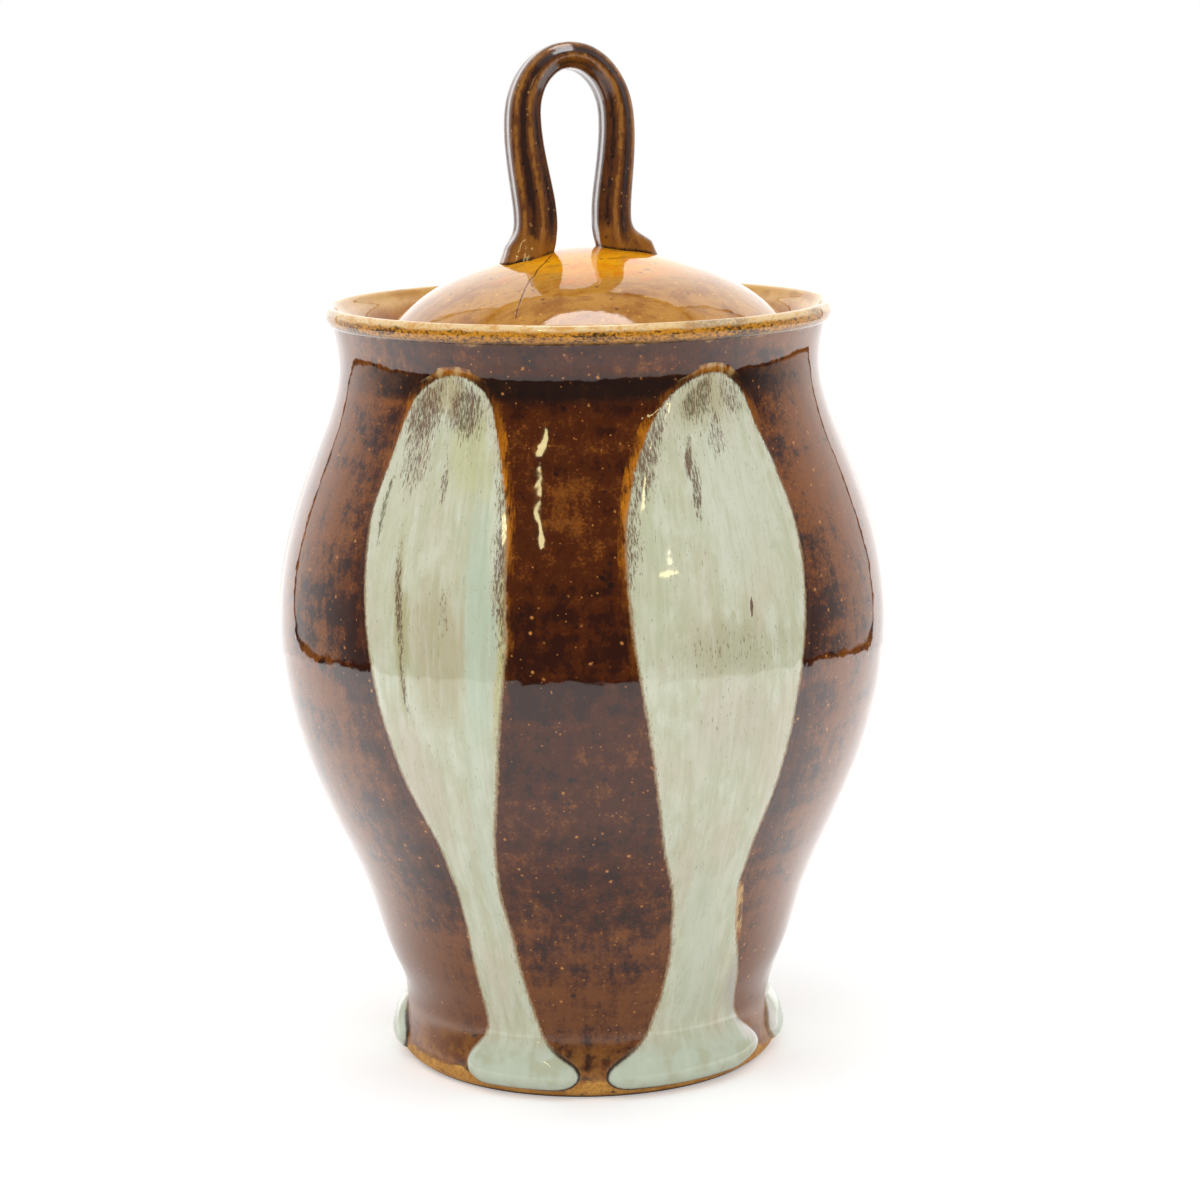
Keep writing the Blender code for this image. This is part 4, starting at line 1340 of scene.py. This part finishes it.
def make_world():
    """Even soft light. The glazes mirror a white backdrop and table, a soft box and a dark room."""
    world = bpy.data.worlds.new("studio")
    bpy.context.scene.world = world
    world.use_nodes = True
    g = Graph(world.node_tree)
    camera_rays, mirror_rays = g.rays()
    direction = g.node("ShaderNodeTexCoord").other("Generated")
    x, y, z = g.split(direction)
    right, back = as_seen(x, y, g.length(x, y, 1e-6))
    azimuth = right.math("ARCTAN2", right, back)
    elevation = z.math("ARCSINE", z)
    waver = (g.noise(direction, 0.12, 3.0, 0.6, unit=1) - 0.5) * MIRROR_WAVER
    off = abs(azimuth) + waver
    height = elevation + waver

    past_side = off - BACKDROP_HALF_WIDTH
    past_table = height - TABLE_EDGE
    corner = g.rise(azimuth, -0.3, 0.3) * (RIGHT_CORNER - LEFT_CORNER) + LEFT_CORNER
    beyond = g.most(past_side, 0.0) * g.most(past_table, 0.0) - corner
    beyond = beyond / g.length(past_side, past_table, 1e-6)
    below_top = 1 - g.rise(height, BACKDROP_TOP - 0.006, BACKDROP_TOP + 0.006)
    in_white = (1 - g.rise(beyond, -0.003, 0.003)) * below_top
    on_table = 1 - g.rise(past_table, -0.004, 0.004)
    in_box = g.rise(height, SOFT_BOX_FOOT - 0.01, SOFT_BOX_FOOT + 0.01)
    room = g.rise(back, -0.25, 0.9) * (ROOM_SIDE - ROOM_DARK) + ROOM_DARK
    room = room + g.rise(height, 0.85, 0.95) * (ROOM_CEILING - room)
    border = (1 - g.rise(beyond, BORDER_WIDTH * 0.6, BORDER_WIDTH)) * below_top
    top_line = g.band(height, BACKDROP_TOP_LINE) * (1 - g.rise(off, 0.95, 1.1))
    glow = room * (1 - border * BORDER_DARK) * (1 - top_line * TOP_LINE_DARK)
    backdrop = g.rise(off, 0.25, 0.6) * (BACKDROP_SIDE_LEVEL - BACKDROP_LEVEL) + BACKDROP_LEVEL
    levels = ((in_box, SOFT_BOX_LEVEL), (in_white, backdrop), (on_table, table_level(g, back)))
    for share, brightness in levels:
        glow = glow * (1 - share) + share * brightness
    mirrored = g.mix(lamps(g, azimuth, elevation), g.tint((1, 1, 1), glow), LAMP_COLOUR)
    colour = g.coats(SKY, (mirror_rays, mirrored), (camera_rays, (1, 1, 1)))
    g.feed(world.node_tree.nodes["Background"].inputs["Color"], colour)


def lamps(g, azimuth, elevation):
    """The share of a direction that the photographer's small warm lamps take."""
    total = 0.0
    for start, end, width in LAMPS:
        start, end = (Vector([radians(angle) for angle in pair]) for pair in (start, end))
        forth, aside = by_line(azimuth, elevation, start, end)
        half = (end - start).length / 2
        lamp = 1 - g.rise(abs(forth), half, half + 0.01)
        lamp = lamp * (1 - g.rise(abs(aside), radians(width) * 0.8, radians(width)))
        total = g.most(total, lamp)
    return total


def make_light():
    """A large soft light from above. The glazes mirror the world's soft box in its place."""
    lamp = bpy.data.lights.new("soft_top", "AREA")
    lamp.shape = "DISK"
    lamp.size = SOFT_LIGHT_SIZE
    lamp.energy = SOFT_LIGHT_POWER
    light = placed("soft_top", lamp)
    light.location = SOFT_LIGHT_PLACE
    light.visible_glossy = False
    aim = Vector(SOFT_LIGHT_AIM) - Vector(SOFT_LIGHT_PLACE)
    light.rotation_euler = aim.to_track_quat("-Z", "Y").to_euler()


def make_camera():
    """The camera, at the photograph's place and angle."""
    turn = CAMERA_TURN
    ahead = Vector((sin(CAMERA_YAW - turn), cos(CAMERA_YAW - turn), 0))
    right = Vector((ahead.y, -ahead.x, 0))
    forward = ahead * cos(CAMERA_PITCH) - Vector((0, 0, sin(CAMERA_PITCH)))
    upward = right.cross(forward)
    right_rolled = right * cos(CAMERA_ROLL) - upward * sin(CAMERA_ROLL)
    up_rolled = upward * cos(CAMERA_ROLL) + right * sin(CAMERA_ROLL)
    camera = placed("camera", bpy.data.cameras.new("camera"))
    camera.data.lens = CAMERA_LENS
    camera.data.sensor_width = CAMERA_SENSOR
    axes = Matrix((right_rolled, up_rolled, -forward)).transposed()
    place = Vector((sin(turn) * CAMERA_DISTANCE, -cos(turn) * CAMERA_DISTANCE, CAMERA_HEIGHT))
    camera.matrix_world = Matrix.Translation(place) @ axes.to_4x4()
    bpy.context.scene.camera = camera


def main():
    """Make every piece of the jar, the table, the world, the camera and the light."""
    wall = wall_radius()
    dome = lid_dome()
    jar_sizes = {
        "Steps": JAR_STEPS, "Middle": 0.0, "Ring Depth": JAR_RING_DEPTH,
        "Ring Pitch": JAR_RING_PITCH, "Wobble": JAR_WOBBLE, "Height": RIM_HEIGHT}
    jar = turned("thrown_jar", jar_profile(wall), jar_sizes, glazed("iron_brown_glaze", brown_glaze))
    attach(jar, "jar")
    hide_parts("jar_body")

    lid_sizes = {
        "Steps": LID_STEPS, "Middle": LID_MIDDLE, "Ring Depth": LID_RING_DEPTH,
        "Ring Pitch": LID_RING_PITCH, "Wobble": 0.0, "Height": RIM_HEIGHT}
    lid = turned("domed_lid", lid_profile(dome), lid_sizes, glazed("amber_lid_glaze", lid_glaze))
    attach(lid, "lid")
    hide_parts("lid")

    handle = pulled_handle(dome, glazed("handle_glaze", handle_glaze))
    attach(handle, "lid")
    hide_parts("lid_handle")

    faces = [polygon.vertices[:] for polygon in jar.data.polygons]
    skin = BVHTree.FromPolygons([vertex.co for vertex in jar.data.vertices], faces)
    narrow_looks = (NARROW_FLECKS, NARROW_TINTS, NARROW_GLOWS, 1)
    broad_looks = (BROAD_FLECKS, BROAD_TINTS, BROAD_GLOWS, -1)
    narrow = glazed("celadon_glaze_narrow", celadon_glaze, *narrow_looks)
    broad = glazed("celadon_glaze_broad", celadon_glaze, *broad_looks)
    for node, bearing, edges, width, mirrored in RUNS:
        glaze = narrow if edges is NARROW_RUN_SHARES else broad
        sheet = run_sheet(run_edges(edges, width, mirrored), mirrored, wall)
        run = run_layer(node.replace("glaze", "poured"), bearing, sheet, skin, glaze)
        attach(run, "jar")
        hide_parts(node)

    make_floor(white_floor())
    make_world()
    make_camera()
    make_light()
    bpy.context.scene.view_settings.view_transform = "Standard"


main()
